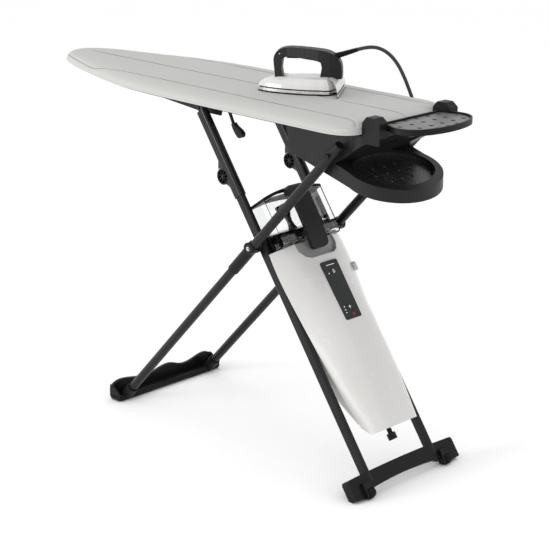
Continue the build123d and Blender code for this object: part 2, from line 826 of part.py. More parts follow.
with BuildPart() as casing_front:
    loft([casing_section(s, pts, 0) for s, pts in SECT])
    loft([casing_section(s, pts, 3) for s, pts in [(20, SECT[0][1])] + SECT[1:-1] + [(563, SECT[-1][1])]],
         mode=Mode.SUBTRACT)
    # slanted underside
    with BuildSketch(XZ_C.offset(-150)):
        with BuildLine():
            Polyline((532, -10), (575, -54), (620, -54), (620, 0), (532, 0), close=True)
        make_face()
    extrude(amount=300, mode=Mode.SUBTRACT)
    # scoop at the top for the end of the tank grip
    with BuildSketch(PL_B.offset(48)):
        add(scoop_plan(0))
    extrude(amount=60, mode=Mode.SUBTRACT)
    # window of the control strip
    with BuildSketch(PL_B.offset(40)):
        with Locations((187, 0)):
            RectangleRounded(166, 60, 6)
    extrude(amount=60, mode=Mode.SUBTRACT)
casing_front.part.label = "casing_front"
export_step(casing_front.part, "parts/casing_front.step")

# grey scoop liner: a floor and a wall that follows the casing's skin
with BuildPart() as scoop_liner:
    with BuildSketch(PL_B.offset(48.2)):
        add(scoop_plan(0.35))
    extrude(amount=40)
    with BuildSketch(PL_B.offset(50.4)):
        add(scoop_plan(2.6))
    extrude(amount=50, mode=Mode.SUBTRACT)
    loft([casing_section(s, pts, 0.5) for s, pts in SECT[:3]], mode=Mode.INTERSECT)
    with BuildSketch(PL_B.offset(40)):
        with Locations((24, 0)):
            Rectangle(21, 200)
    extrude(amount=60, mode=Mode.SUBTRACT)
scoop_liner.part.label = "scoop_liner"
export_step(scoop_liner.part, "parts/scoop_liner.step")

DR_N = 19.0                   # drain neck, in front of the tube plane
# rear casing between the tubes
with BuildPart() as casing_rear:
    with BuildSketch(PL_B.offset(-14)):
        with BuildLine():
            Polyline((34.5, -112), (34.5, 112), (300, 112), (400, 104), (480, 92), (566, 77),
                     (566, -77), (480, -92), (400, -104), (300, -112), close=True)
        make_face()
    extrude(amount=80)
    with BuildSketch(XZ_C.offset(-150)):
        with BuildLine():
            Polyline((34.5, -16.2), (34.5, 12), (440, 12), (525, -10), (532, -16.2), close=True)
        make_face()
    extrude(amount=300, mode=Mode.INTERSECT)
    with BuildSketch(XZ_C.offset(-108)):
        with BuildLine():
            Polyline((37.5, -18), (37.5, 9), (438, 9), (516, -11), (522, -18), close=True)
        make_face()
    extrude(amount=216, mode=Mode.SUBTRACT)
    # side skins at the taper
    with BuildSketch(PL_B.offset(-14)):
        with BuildLine():
            Polyline((290, 112), (300, 112), (400, 104), (480, 92), (530, 83.5), (530, 80), (480, 88.8),
                     (400, 100.8), (300, 108.5), (290, 108.5), close=True)
        make_face()
        mirror(about=Plane.XZ)
    extrude(amount=30.2)
    with BuildSketch(XZ_C.offset(-150)):
        with BuildLine():
            Polyline((34.5, -16.2), (34.5, 12), (440, 12), (525, -10), (532, -16.2), close=True)
        make_face()
    extrude(amount=300, mode=Mode.INTERSECT)
    # slanted closing plate at the foot
    with BuildSketch(XZ_C.offset(-76)):
        with BuildLine():
            Polyline((531.6, -10.4), (562, -41.5), (559.9, -43.6), (527.5, -11.9), (524, -12), (524, -10.2), close=True)
        make_face()
    extrude(amount=152)
    # hole for the drain neck
    with BuildSketch(leg_b(560)):
        with Locations((0, -DR_N)):
            Circle(6.9)
    extrude(amount=44, mode=Mode.SUBTRACT)
    # cut-out for the mains inlet
    with BuildSketch(PL_B.offset(-20)):
        with Locations((90, 60)):
            RectangleRounded(34, 28, 3)
    extrude(amount=14, mode=Mode.SUBTRACT)
    # vent slots in the back
    with BuildSketch(PL_B.offset(-20)):
        with Locations((330, 0)):
            with GridLocations(14, 10, 6, 1):
                SlotOverall(90, 5, rotation=90)
    extrude(amount=16, mode=Mode.SUBTRACT)
casing_rear.part.label = "casing_rear"
export_step(casing_rear.part, "parts/casing_rear.step")

# pressure boiler: rounded steel vessel
with BuildPart() as boiler:
    with BuildSketch(Plane(origin=loc_b(485, 0, 28), x_dir=(0, 1, 0), z_dir=(-sb[0], 0, -sb[1]))):
        RectangleRounded(124, 44, 20)
    extrude(amount=150)
    fillet(boiler.edges().filter_by_position(Axis((0, 0, 0), (sb[0], 0, sb[1])), -2000, 2000)
           .filter_by(lambda e: abs(e.tangent_at(0.5).dot(Vector(sb[0], 0, sb[1]))) < 0.5), radius=8)
boiler.part.label = "boiler"
export_step(boiler.part, "parts/boiler.step")

# water pump and its solenoid
with BuildPart() as pump:
    with BuildSketch(PL_B.offset(-8.9)):
        with Locations((250, -55)):
            RectangleRounded(80, 44, 6)
    extrude(amount=36)
    with BuildSketch(leg_b(332)):
        with Locations((-55, -12)):
            Circle(8)
    extrude(amount=60)
pump.part.label = "pump"
export_step(pump.part, "parts/pump.step")

# control strip set into the casing window, keys pierce it
KEY_1, KEY_2 = (134.0, 0.0), (236.0, 0.0)
with BuildPart() as control_panel:
    with BuildSketch(PL_B.offset(64)):
        with Locations((187, 0)):
            RectangleRounded(165.4, 59.4, 5.7)
    extrude(amount=9)
    with BuildSketch(PL_B.offset(60)):
        with Locations((187, 0)):
            RectangleRounded(158, 54, 5)
    extrude(amount=10.5, mode=Mode.SUBTRACT)
    with BuildSketch(PL_B.offset(60)):
        with Locations(KEY_1, KEY_2):
            Circle(8.4)
    extrude(amount=20, mode=Mode.SUBTRACT)
control_panel.part.label = "control_panel"
export_step(control_panel.part, "parts/control_panel.step")

# circuit board behind the strip
with BuildPart() as circuit_board:
    with BuildSketch(PL_B.offset(58)):
        with Locations((187, 0)):
            Rectangle(150, 46)
    extrude(amount=1.6)
    with BuildSketch(PL_B.offset(54)):
        with Locations((160, 8), (205, -9), (225, 10)):
            Rectangle(18, 12)
    extrude(amount=4)
circuit_board.part.label = "circuit_board"
export_step(circuit_board.part, "parts/circuit_board.step")


# two round push keys in the strip
def key(c):
    with BuildPart() as piece:
        with BuildSketch(PL_B.offset(64.5)):
            with Locations(c):
                Circle(8)
        extrude(amount=9.3)
        chamfer(edges().filter_by(GeomType.CIRCLE).sort_by(Axis((0, 0, 0), (nb[0], 0, nb[1])))[-1:], 0.6)
    return piece.part


key_power = key(KEY_1)
key_power.label = "key_power"
export_step(key_power, "parts/key_power.step")
key_steam = key(KEY_2)
key_steam.label = "key_steam"
export_step(key_steam, "parts/key_steam.step")

# mains appliance inlet in the back of the casing
with BuildPart() as mains_inlet:
    with BuildSketch(PL_B.offset(-16)):
        with Locations((90, 60)):
            RectangleRounded(34, 28, 3)
    extrude(amount=4)
    with BuildSketch(PL_B.offset(-12)):
        with Locations((90, 60)):
            RectangleRounded(28, 22, 3)
    extrude(amount=20)
    with BuildSketch(PL_B.offset(-17)):
        with Locations((90, 60)):
            RectangleRounded(24, 16, 3)
    extrude(amount=16, mode=Mode.SUBTRACT)
    with BuildSketch(PL_B.offset(-14)):
        with Locations((83, 60), (90, 57), (97, 60)):
            Rectangle(2, 4)
    extrude(amount=15)
mains_inlet.part.label = "mains_inlet"
export_step(mains_inlet.part, "parts/mains_inlet.step")

# descaling drain at the foot of the casing: threaded neck and cap
with BuildPart() as drain_neck:
    with BuildSketch(leg_b(590)):
        with Locations((0, -DR_N)):
            Circle(6.5)
            Circle(4, mode=Mode.SUBTRACT)
    extrude(amount=84)
    with BuildSketch(leg_b(511)):
        with Locations((0, -DR_N)):
            Rectangle(26, 13.6)
            Circle(4, mode=Mode.SUBTRACT)
    extrude(amount=3)
drain_neck.part.label = "drain_neck"
export_step(drain_neck.part, "parts/drain_neck.step")
with BuildPart() as drain_cap:
    with BuildSketch(leg_b(596)):
        with Locations((0, -DR_N)):
            RegularPolygon(12.5, 8)
    extrude(amount=18)
    chamfer(drain_cap.edges(), 1)
    with BuildSketch(leg_b(590.4)):
        with Locations((0, -DR_N)):
            Circle(6.5 + RUN)
    extrude(amount=14, mode=Mode.SUBTRACT)
drain_cap.part.label = "drain_cap"
export_step(drain_cap.part, "parts/drain_cap.step")

# small clear steam dial on the far flank of the casing
KN_S, KN_N, KN_Y = 132.0, 33.6, 115.6
kp = loc_b(KN_S, KN_Y, KN_N)
with BuildPart() as steam_dial:
    with BuildSketch(Plane(origin=kp, x_dir=(sb[0], 0, sb[1]), z_dir=(nb[0] * 0.826, 0.564, nb[1] * 0.826))):
        Circle(13)
    extrude(amount=8.5)
    chamfer(steam_dial.edges().filter_by(GeomType.CIRCLE), 1.2)
steam_dial.part.label = "steam_dial"
export_step(steam_dial.part, "parts/steam_dial.step")

# ======================= water tank ======================================
TY = 106.0
T_TOP = -111.5
ARCH_END, ARCH_MID = -91.5, -111.0      # arch of the tank's rim


def tank_profile(d):
    """Side profile of the tank, stepped over the cradle."""
    with BuildSketch(Plane.XY, mode=Mode.PRIVATE) as sk:
      with BuildLine():
        Polyline((T_TOP, 28 - d), (T_TOP, -56 + d), (33 - d, -56 + d), (33 - d, -17.5 - d), (-17 - d, -17.5 - d),
                 (-17 - d, 28 - d), close=True)
      make_face()
    return sk.sketch_local


with BuildPart() as water_tank:
    with BuildSketch(XZ_C.offset(-TY)):
        add(tank_profile(0))
        fillet(vertices().filter_by_position(Axis.Y, -60, -50), radius=10)
    extrude(amount=2 * TY)
    with BuildSketch(XZ_C.offset(-TY + 2.5)):
        with BuildLine():
            Polyline((T_TOP - 1, 25.5), (T_TOP - 1, -53.5), (22, -53.5), (30.5, -45), (30.5, -20), (-19.5, -20),
                     (-19.5, 25.5), close=True)
        make_face()
    extrude(amount=2 * TY - 5, mode=Mode.SUBTRACT)
    with BuildSketch(PL_B.offset(-60)):
        with BuildLine():
            ThreePointArc((ARCH_END, -130), (ARCH_MID, 0), (ARCH_END, 130))
            Polyline((ARCH_END, 130), (-160, 130), (-160, -130), (ARCH_END, -130))
        make_face()
    extrude(amount=160, mode=Mode.SUBTRACT)
water_tank.part.label = "water_tank"
export_step(water_tank.part, "parts/water_tank.step")

# arched tank lid with a filler mouth
with BuildPart() as tank_lid:
    with BuildSketch(PL_B.offset(-30)):
        with BuildLine():
            ThreePointArc((ARCH_END - 0.3, -130), (ARCH_MID - 0.3, 0), (ARCH_END - 0.3, 130))
            Line((ARCH_END - 0.3, 130), (ARCH_END - 8.3, 130))
            ThreePointArc((ARCH_END - 8.3, 130), (ARCH_MID - 8.3, 0), (ARCH_END - 8.3, -130))
            Line((ARCH_END - 8.3, -130), (ARCH_END - 0.3, -130))
        make_face()
        with Locations((-100, 0)):
            Rectangle(60, 2 * TY + 2, mode=Mode.INTERSECT)
    extrude(amount=86.4)
    with BuildSketch(leg_b(T_TOP + 25)):
        with Locations((-58, -8)):
            Circle(17)
    extrude(amount=60, mode=Mode.SUBTRACT)
tank_lid.part.label = "tank_lid"
export_step(tank_lid.part, "parts/tank_lid.step")

# grip strap standing off the front of the tank
with BuildPart() as tank_grip:
    with BuildSketch(XZ_C.offset(-31)):
        with BuildLine():
            Spline([(-119, -56.8), (-117, -74), (-100, -82), (-60, -84), (10, -79), (50, -74), (63, -70)])
            Line((63, -70), (63, -61))
            Spline([(63, -61), (50, -64), (10, -69), (-60, -73), (-88, -71), (-95, -56.8)])
            Line((-95, -56.8), (-119, -56.8))
        make_face()
    extrude(amount=62)
    with BuildSketch(XZ_C.offset(-31)):
        with BuildLine():
            Polyline((10, -56.3), (22, -56.3), (24, -70), (8, -72), close=True)
        make_face()
    extrude(amount=62)
    with BuildSketch(PL_B.offset(50)):
        with Locations((-28, 0)):
            RectangleRounded(182, 62, 13)
    extrude(amount=60, mode=Mode.INTERSECT)
tank_grip.part.label = "tank_grip"
export_step(tank_grip.part, "parts/tank_grip.step")

# anti-scale cartridge standing in the tank
with BuildPart() as filter_cartridge:
    with BuildSketch(leg_b(-22)):
        with Locations((62, 0)):
            Circle(18.5)
    extrude(amount=66)
    with BuildSketch(leg_b(26)):
        with Locations((62, -38)):
            Circle(10)
    extrude(amount=94)
    with BuildSketch(leg_b(-60)):
        with Locations((62, -20)):
            Rectangle(18, 40)
    extrude(amount=12)
filter_cartridge.part.label = "filter_cartridge"
export_step(filter_cartridge.part, "parts/filter_cartridge.step")

# ======================= iron ============================================
PHI = 36.0
IR_O = (114.0, -53.0)
iron_pl = Plane(origin=(IR_O[0], IR_O[1], 0),
                x_dir=(math.cos(math.radians(PHI)), math.sin(math.radians(PHI)), 0), z_dir=(0, 0, 1))
IL, IW = 222.0, 108.0


def iron_pt(a, y, z):
    c, s = math.cos(math.radians(PHI)), math.sin(math.radians(PHI))
    return (IR_O[0] + a * c - y * s, IR_O[1] + a * s + y * c, z)


def sole_outline(z, d, tip=0.0):
    """Iron plan outline at height z, d inside the soleplate edge."""
    with BuildSketch(iron_pl.offset(z), mode=Mode.PRIVATE) as sk:
        with BuildLine():
            x0, x1, w = d * 1.3 + tip, IL - d, IW / 2 - d
            le = x1 - x0
            ts = (0.0, 0.012, 0.05, 0.12, 0.22, 0.36, 0.52, 0.68, 0.80, 0.90, 0.965, 1.0)
            ws = (0.0, 0.115, 0.262, 0.445, 0.635, 0.815, 0.94, 1.0, 0.975, 0.83, 0.53, 0.0)
            q = [(x0 + le * t, w * v) for t, v in zip(ts, ws)]
            e = Edge.make_spline([Vector(x, y) for x, y in q], tangents=[Vector(0.05, 1), Vector(0, -1)])
            side = [e @ (i / 30) for i in range(31)]
            ring = [(v.X, v.Y) for v in side] + [(v.X, -v.Y) for v in side[-2:0:-1]]
            Polyline(*ring, close=True)
        make_face()
    return sk.sketch


with BuildPart() as iron_shoe:
    extrude(sole_outline(H + 0.3, 1.5), amount=4.2)
iron_shoe.part.label = "iron_shoe"
export_step(iron_shoe.part, "parts/iron_shoe.step")

with BuildPart() as iron_sole:
    extrude(sole_outline(H + 4.5, 0), amount=7)
iron_sole.part.label = "iron_sole"
export_step(iron_sole.part, "parts/iron_sole.step")

with BuildPart() as iron_gasket:
    extrude(sole_outline(H + 11.5, 4), amount=3)
iron_gasket.part.label = "iron_gasket"
export_step(iron_gasket.part, "parts/iron_gasket.step")

with BuildPart() as iron_cover:
    loft([sole_outline(H + 14.5, 1.5), sole_outline(H + 24, 3.5, 3), sole_outline(H + 33, 8.5, 10),
          sole_outline(H + 39.5, 16, 20), sole_outline(H + 43, 27, 34)], ruled=True)
iron_cover.part.label = "iron_cover"
export_step(iron_cover.part, "parts/iron_cover.step")

# handle: front post, top bar and broad rear post in one loop
IR_SIDE = Plane(origin=iron_pt(0, 14, 0), x_dir=(math.cos(math.radians(PHI)), math.sin(math.radians(PHI)), 0),
                z_dir=(math.sin(math.radians(PHI)), -math.cos(math.radians(PHI)), 0))
with BuildPart() as iron_handle:
    with BuildSketch(IR_SIDE.offset(-4)):
        with BuildLine():
            Line((48, 1000), (44, 1040))
            Spline([(44, 1040), (46, 1056), (56, 1070), (74, 1077), (112, 1077.5), (150, 1074.5), (184, 1070),
                    (206, 1059), (219, 1040), (222, 1018), (219, 992), (211, 979.5)])
            Polyline((211, 979.5), (186, 996), (48, 1000))
        make_face()
        with BuildLine():
            Polyline((68, 1004.5), (65, 1024), (67, 1042))
            Spline([(67, 1042), (70, 1049.5), (78, 1053.5), (110, 1052), (140, 1047.5), (158, 1044.5), (167, 1041)])
            Polyline((167, 1041), (170, 1028), (166, 1004.5), (68, 1004.5))
        make_face(mode=Mode.SUBTRACT)
    extrude(amount=36)
    # rounded over on both sides
    with BuildSketch(iron_pl.offset(960)):
        with BuildLine():
            Polyline((30, -11), (60, -14), (190, -18), (232, -13), (232, 13), (190, 18), (60, 14), (30, 11), close=True)
        make_face()
    extrude(amount=140, mode=Mode.INTERSECT)
iron_handle.part.label = "iron_handle"
export_step(iron_handle.part, "parts/iron_handle.step")

# the handle gets a socket for the hose boot and a pocket for the trigger
BOOT_A, BOOT_Z = 206.0, 1057.5
BOOT_B = (259.0, 1075.0)
bl = math.hypot(BOOT_B[0] - BOOT_A, BOOT_B[1] - BOOT_Z)
bd = ((BOOT_B[0] - BOOT_A) / bl, (BOOT_B[1] - BOOT_Z) / bl)
c36, s36 = math.cos(math.radians(PHI)), math.sin(math.radians(PHI))
boot_dir = (bd[0] * c36, bd[0] * s36, bd[1])


def boot_plane(t):
    p = iron_pt(BOOT_A + bd[0] * t, 0, BOOT_Z + bd[1] * t)
    return Plane(origin=p, x_dir=(-s36, c36, 0), z_dir=boot_dir)


with BuildPart() as iron_handle_cut:
    add(iron_handle.part)
    with BuildSketch(boot_plane(-6)):
        Circle(8)
    extrude(amount=60, mode=Mode.SUBTRACT)
    with BuildSketch(iron_pl.offset(1030)):
        with Locations((93, 0)):
            Rectangle(32.6, 12.6)
    extrude(amount=33, mode=Mode.SUBTRACT)
    with BuildSketch(iron_pl.offset(1000)):
        with Locations((130, 0)):
            Rectangle(400, 400)
    extrude(amount=-60, mode=Mode.SUBTRACT)
    add(iron_cover.part, mode=Mode.SUBTRACT)
iron_handle_cut.part.label = "iron_handle"
export_step(iron_handle_cut.part, "parts/iron_handle.step")

# steam trigger under the grip
with BuildPart() as steam_trigger:
    with BuildSketch(iron_pl.offset(1049)):
        with Locations((93, 0)):
            RectangleRounded(32, 12, 3)
    extrude(amount=9.5)
steam_trigger.part.label = "steam_trigger"
export_step(steam_trigger.part, "parts/steam_trigger.step")

# tapered boot where the hose leaves the handle
with BuildPart() as hose_boot:
    with BuildSketch(boot_plane(-5.5)):
        Circle(8)
    with BuildSketch(boot_plane(8)):
        Circle(8)
    loft()
    with BuildSketch(boot_plane(8)):
        Circle(8)
    with BuildSketch(boot_plane(bl)):
        Circle(5.6)
    loft()
hose_boot.part.label = "hose_boot"
export_step(hose_boot.part, "parts/hose_boot.step")

# steam hose: from the boot over the far edge and into the housing gland
H0 = iron_pt(BOOT_B[0], 0, BOOT_B[1])
H1 = (H0[0] + 21 * boot_dir[0], H0[1] + 21 * boot_dir[1], H0[2] + 21 * boot_dir[2])
HOSE_PTS = [H0, H1, (358, 138, 1081), (376, 163, 1064), (388, 184, 1035), (397, 200, 1000), (405, 213, 963),
            (410, 223, 934), (410.6, 218.8, 910), (410.6, 204.4, 890.8), (410, 183, 880), (410, 159, 880)]


def hose_corner_radii(pts):
    out = []
    for i in range(1, len(pts) - 1):
        v1 = Vector(*pts[i]) - Vector(*pts[i - 1])
        v2 = Vector(*pts[i + 1]) - Vector(*pts[i])
        half = math.radians(v1.get_angle(v2)) / 2
        out.append(0.45 * min(v1.length, v2.length) / math.tan(half))
    return out


hose_r = hose_corner_radii(HOSE_PTS)
print("hose corner radii", [round(r, 1) for r in hose_r])
with BuildPart() as steam_hose:
    with BuildLine():
        hose_line = FilletPolyline(*HOSE_PTS, radius=hose_r)
    with BuildSketch(Plane(origin=HOSE_PTS[0], x_dir=(-s36, c36, 0), z_dir=boot_dir)):
        Circle(HOSE_D / 2)
    sweep()
hose_len = hose_line.length
print("hose length", round(hose_len, 1), "volume ratio",
      round(steam_hose.part.volume / (hose_len * math.pi * HOSE_D ** 2 / 4), 4))
steam_hose.part.label = "steam_hose"
export_step(steam_hose.part, "parts/steam_hose.step")

# gland where the hose enters the housing
with BuildPart() as hose_gland:
    with BuildSketch(at_y(159)):
        with Locations((410, 880)):
            Circle(6.5)
    with BuildSketch(at_y(143)):
        with Locations((410, 880)):
            Circle(10)
    loft()
    with BuildSketch(at_y(143)):
        with Locations((410, 880)):
            Circle(14)
    extrude(amount=4)
    with BuildSketch(at_y(139)):
        with Locations((410, 880)):
            Circle(9)
    extrude(amount=6)
hose_gland.part.label = "hose_gland"
export_step(hose_gland.part, "parts/hose_gland.step")

# hose reserve coiled inside the housing
with BuildPart() as hose_reserve:
    with BuildSketch(Plane.XY.offset(850)):
        with Locations((376, 88)):
            Circle(43)
            Circle(24, mode=Mode.SUBTRACT)
    extrude(amount=28.5)
    fillet(hose_reserve.edges().filter_by(GeomType.CIRCLE), radius=4)
hose_reserve.part.label = "hose_reserve"
export_step(hose_reserve.part, "parts/hose_reserve.step")
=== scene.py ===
"""Looks of the folding ironing table with its steam generator and iron."""
import bpy
import bmesh
import json
import math
import random
import numpy as np
from mathutils import Vector, Matrix


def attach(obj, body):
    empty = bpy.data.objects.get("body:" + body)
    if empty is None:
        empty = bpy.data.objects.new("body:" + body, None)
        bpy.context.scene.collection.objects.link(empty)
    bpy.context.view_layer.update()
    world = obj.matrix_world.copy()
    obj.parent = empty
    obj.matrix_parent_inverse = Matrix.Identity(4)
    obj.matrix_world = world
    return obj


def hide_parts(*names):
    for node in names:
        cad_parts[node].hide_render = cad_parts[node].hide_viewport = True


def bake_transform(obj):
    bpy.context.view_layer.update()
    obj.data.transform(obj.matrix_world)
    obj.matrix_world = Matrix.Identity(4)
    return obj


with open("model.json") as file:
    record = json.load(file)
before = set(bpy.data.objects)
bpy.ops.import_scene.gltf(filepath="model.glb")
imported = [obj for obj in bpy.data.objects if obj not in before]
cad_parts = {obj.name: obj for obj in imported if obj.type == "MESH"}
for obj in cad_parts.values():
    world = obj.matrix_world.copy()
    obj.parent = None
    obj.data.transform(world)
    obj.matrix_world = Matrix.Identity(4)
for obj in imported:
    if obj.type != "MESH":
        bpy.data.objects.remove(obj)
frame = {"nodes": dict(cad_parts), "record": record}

random.seed(7)
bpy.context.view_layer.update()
NODES = frame["nodes"]
scene = bpy.context.scene

# ------------------------------------------------------------------ frames
A_B = math.radians(54.73)
A_A = math.radians(46.58)
CX, CZ = 0.2038, 0.5759
SB = Vector((math.cos(A_B), 0, -math.sin(A_B)))      # down the inner legs
NB = Vector((math.sin(A_B), 0, math.cos(A_B)))       # front normal of the inner legs
UA = Vector((math.cos(A_A), 0, math.sin(A_A)))       # up the outer legs
C0 = Vector((CX, 0, CZ))


def leg(s, y, n):
    """Point of the inner leg frame; s, y, n in millimetres."""
    return C0 + SB * (s / 1000) + NB * (n / 1000) + Vector((0, y / 1000, 0))


PHI = math.radians(36)
IRO = Vector((0.114, -0.053, 0))


def iron_at(a, y, z):
    c, s = math.cos(PHI), math.sin(PHI)
    return IRO + Vector(((a * c - y * s) / 1000, (a * s + y * c) / 1000, z / 1000))


# ------------------------------------------------------------------ camera
az, el = math.radians(45.54), math.radians(17.99)
back = Vector((math.sin(az) * math.cos(el), -math.cos(az) * math.cos(el), math.sin(el)))
cam_data = bpy.data.cameras.new("Camera")
cam = bpy.data.objects.new("Camera", cam_data)
scene.collection.objects.link(cam)
cam_data.lens = 107.53
cam_data.sensor_width = 36.0
cam_data.clip_end = 60
cam.location = (3.14883, -2.96770, 1.82271)
cam.rotation_euler = (-back).to_track_quat("-Z", "Y").to_euler()
scene.camera = cam


# ------------------------------------------------------------------ node helpers
class Mat:
    """Small helper for building a node material."""

    def __init__(self, name, rgb=(0.5, 0.5, 0.5), rough=0.5, metal=0.0, **kw):
        self.m = bpy.data.materials.new(name)
        self.m.use_nodes = True
        self.t = self.m.node_tree
        self.b = self.t.nodes["Principled BSDF"]
        self.b.inputs["Base Color"].default_value = (*rgb, 1)
        self.b.inputs["Roughness"].default_value = rough
        self.b.inputs["Metallic"].default_value = metal
        for k, v in kw.items():
            self.b.inputs[k.replace("_", " ")].default_value = v
        self.rgb, self.rough = rgb, rough
        self._co = None

    def node(self, kind, **kw):
        n = self.t.nodes.new(kind)
        for k, v in kw.items():
            if k.startswith("i_"):
                n.inputs[k[2:].replace("_", " ")].default_value = v
            else:
                setattr(n, k, v)
        return n

    def link(self, a, b):
        self.t.links.new(a, b)

    def co(self, kind="Object"):
        if self._co is None:
            self._co = self.node("ShaderNodeTexCoord")
        return self._co.outputs[kind]

    def noise(self, scale, detail=3, rough=0.55, vec=None, dist=0.0):
        n = self.node("ShaderNodeTexNoise", i_Scale=scale, i_Detail=detail, i_Roughness=rough, i_Distortion=dist)
        self.link(vec or self.co(), n.inputs["Vector"])
        return n.outputs["Fac"]

    def voronoi(self, scale, feature="F1", vec=None, rand=1.0):
        n = self.node("ShaderNodeTexVoronoi", feature=feature, i_Scale=scale, i_Randomness=rand)
        self.link(vec or self.co(), n.inputs["Vector"])
        return n.outputs["Distance"]

    def math(self, op, a, b=None, clamp=False):
        n = self.node("ShaderNodeMath", operation=op, use_clamp=clamp)
        for i, v in enumerate((a, b)):
            if v is None:
                continue
            if isinstance(v, (int, float)):
                n.inputs[i].default_value = v
            else:
                self.link(v, n.inputs[i])
        return n.outputs[0]

    def ramp(self, fac, stops):
        n = self.node("ShaderNodeValToRGB")
        e = n.color_ramp.elements
        while len(e) < len(stops):
            e.new(0.5)
        for el_, (p, c) in zip(e, stops):
            el_.position = p
            el_.color = (*c, 1) if len(c) == 3 else c
        self.link(fac, n.inputs["Fac"])
        return n.outputs["Color"]

    def remap(self, fac, a, b, c, d):
        n = self.node("ShaderNodeMapRange", clamp=True)
        n.inputs["From Min"].default_value = a
        n.inputs["From Max"].default_value = b
        n.inputs["To Min"].default_value = c
        n.inputs["To Max"].default_value = d
        self.link(fac, n.inputs["Value"])
        return n.outputs["Result"]

    def mix(self, fac, a, b, blend="MIX"):
        n = self.node("ShaderNodeMix", data_type="RGBA", blend_type=blend)
        if isinstance(fac, (int, float)):
            n.inputs["Factor"].default_value = fac
        else:
            self.link(fac, n.inputs["Factor"])
        for sock, v in ((n.inputs[6], a), (n.inputs[7], b)):
            if isinstance(v, (tuple, list)):
                sock.default_value = (*v, 1) if len(v) == 3 else v
            else:
                self.link(v, sock)
        return n.outputs[2]

    def color(self, out):
        self.link(out, self.b.inputs["Base Color"])
        return self

    def roughness(self, out):
        self.link(out, self.b.inputs["Roughness"])
        return self

    def bump(self, height, strength, distance):
        n = self.node("ShaderNodeBump", i_Strength=strength, i_Distance=distance)
        self.link(height, n.inputs["Height"])
        prev = self.b.inputs["Normal"].links
        if prev:
            self.link(prev[0].from_socket, n.inputs["Normal"])
        self.link(n.outputs["Normal"], self.b.inputs["Normal"])
        return self


def shade(rgb, k):
    return tuple(min(1.0, max(0.0, c * k)) for c in rgb)


def moulded(name, rgb, rough, grain=900, depth=0.00012, strength=0.35, var=0.12, dust=0.0, **kw):
    """Injection-moulded plastic: fine grain, slow colour drift, faint rubbed patches."""
    m = Mat(name, rgb, rough, **kw)
    big = m.noise(7, 4)
    fine = m.noise(160, 3)
    col = m.ramp(big, [(0.3, shade(rgb, 1 - var)), (0.7, shade(rgb, 1 + var))])
    if dust:
        rub = m.remap(m.noise(38, 6, 0.7), 0.56, 0.78, 0, dust)
        col = m.mix(rub, col, shade(rgb, 1.0 + 1.6 * var + 0.35))
    m.color(col)
    m.roughness(m.remap(fine, 0.3, 0.7, max(0.02, rough - 0.07), min(1, rough + 0.08)))
    m.bump(m.voronoi(grain), strength, depth)
    m.bump(m.noise(30, 2), 0.06, 0.0006)
    return m.m


def powder(name, rgb, rough):
    """Powder coat on steel: orange peel, tiny nibs, rubbed high spots."""
    m = Mat(name, rgb, rough, Coat_Weight=0.12, Coat_Roughness=0.25)
    big = m.noise(9, 5, 0.6)
    rub = m.remap(m.noise(55, 6, 0.75), 0.6, 0.8, 0, 0.55)
    col = m.mix(rub, m.ramp(big, [(0.3, shade(rgb, 0.86)), (0.7, shade(rgb, 1.15))]), shade(rgb, 1.9))
    m.color(col)
    m.roughness(m.remap(m.noise(90, 3), 0.3, 0.7, rough - 0.06, rough + 0.08))
    m.bump(m.noise(420, 2, 0.5), 0.3, 0.00025)
    return m.m


def metal(name, rgb, rough, brushed=None, var=0.08, aniso=0.0):
    m = Mat(name, rgb, rough, 1.0)
    vec = m.co()
    if brushed:
        mp = m.node("ShaderNodeMapping")
        mp.inputs["Scale"].default_value = brushed
        m.link(vec, mp.inputs["Vector"])
        vec = mp.outputs["Vector"]
    n = m.noise(60, 5, 0.65, vec)
    m.color(m.ramp(n, [(0.3, shade(rgb, 1 - var)), (0.72, shade(rgb, 1 + var))]))
    m.roughness(m.remap(m.noise(24, 6, 0.7, vec), 0.3, 0.75, rough * 0.8, min(1, rough * 1.5)))
    m.bump(m.noise(260, 2, 0.5, vec), 0.12, 0.0001)
    return m.m


MATS = {}


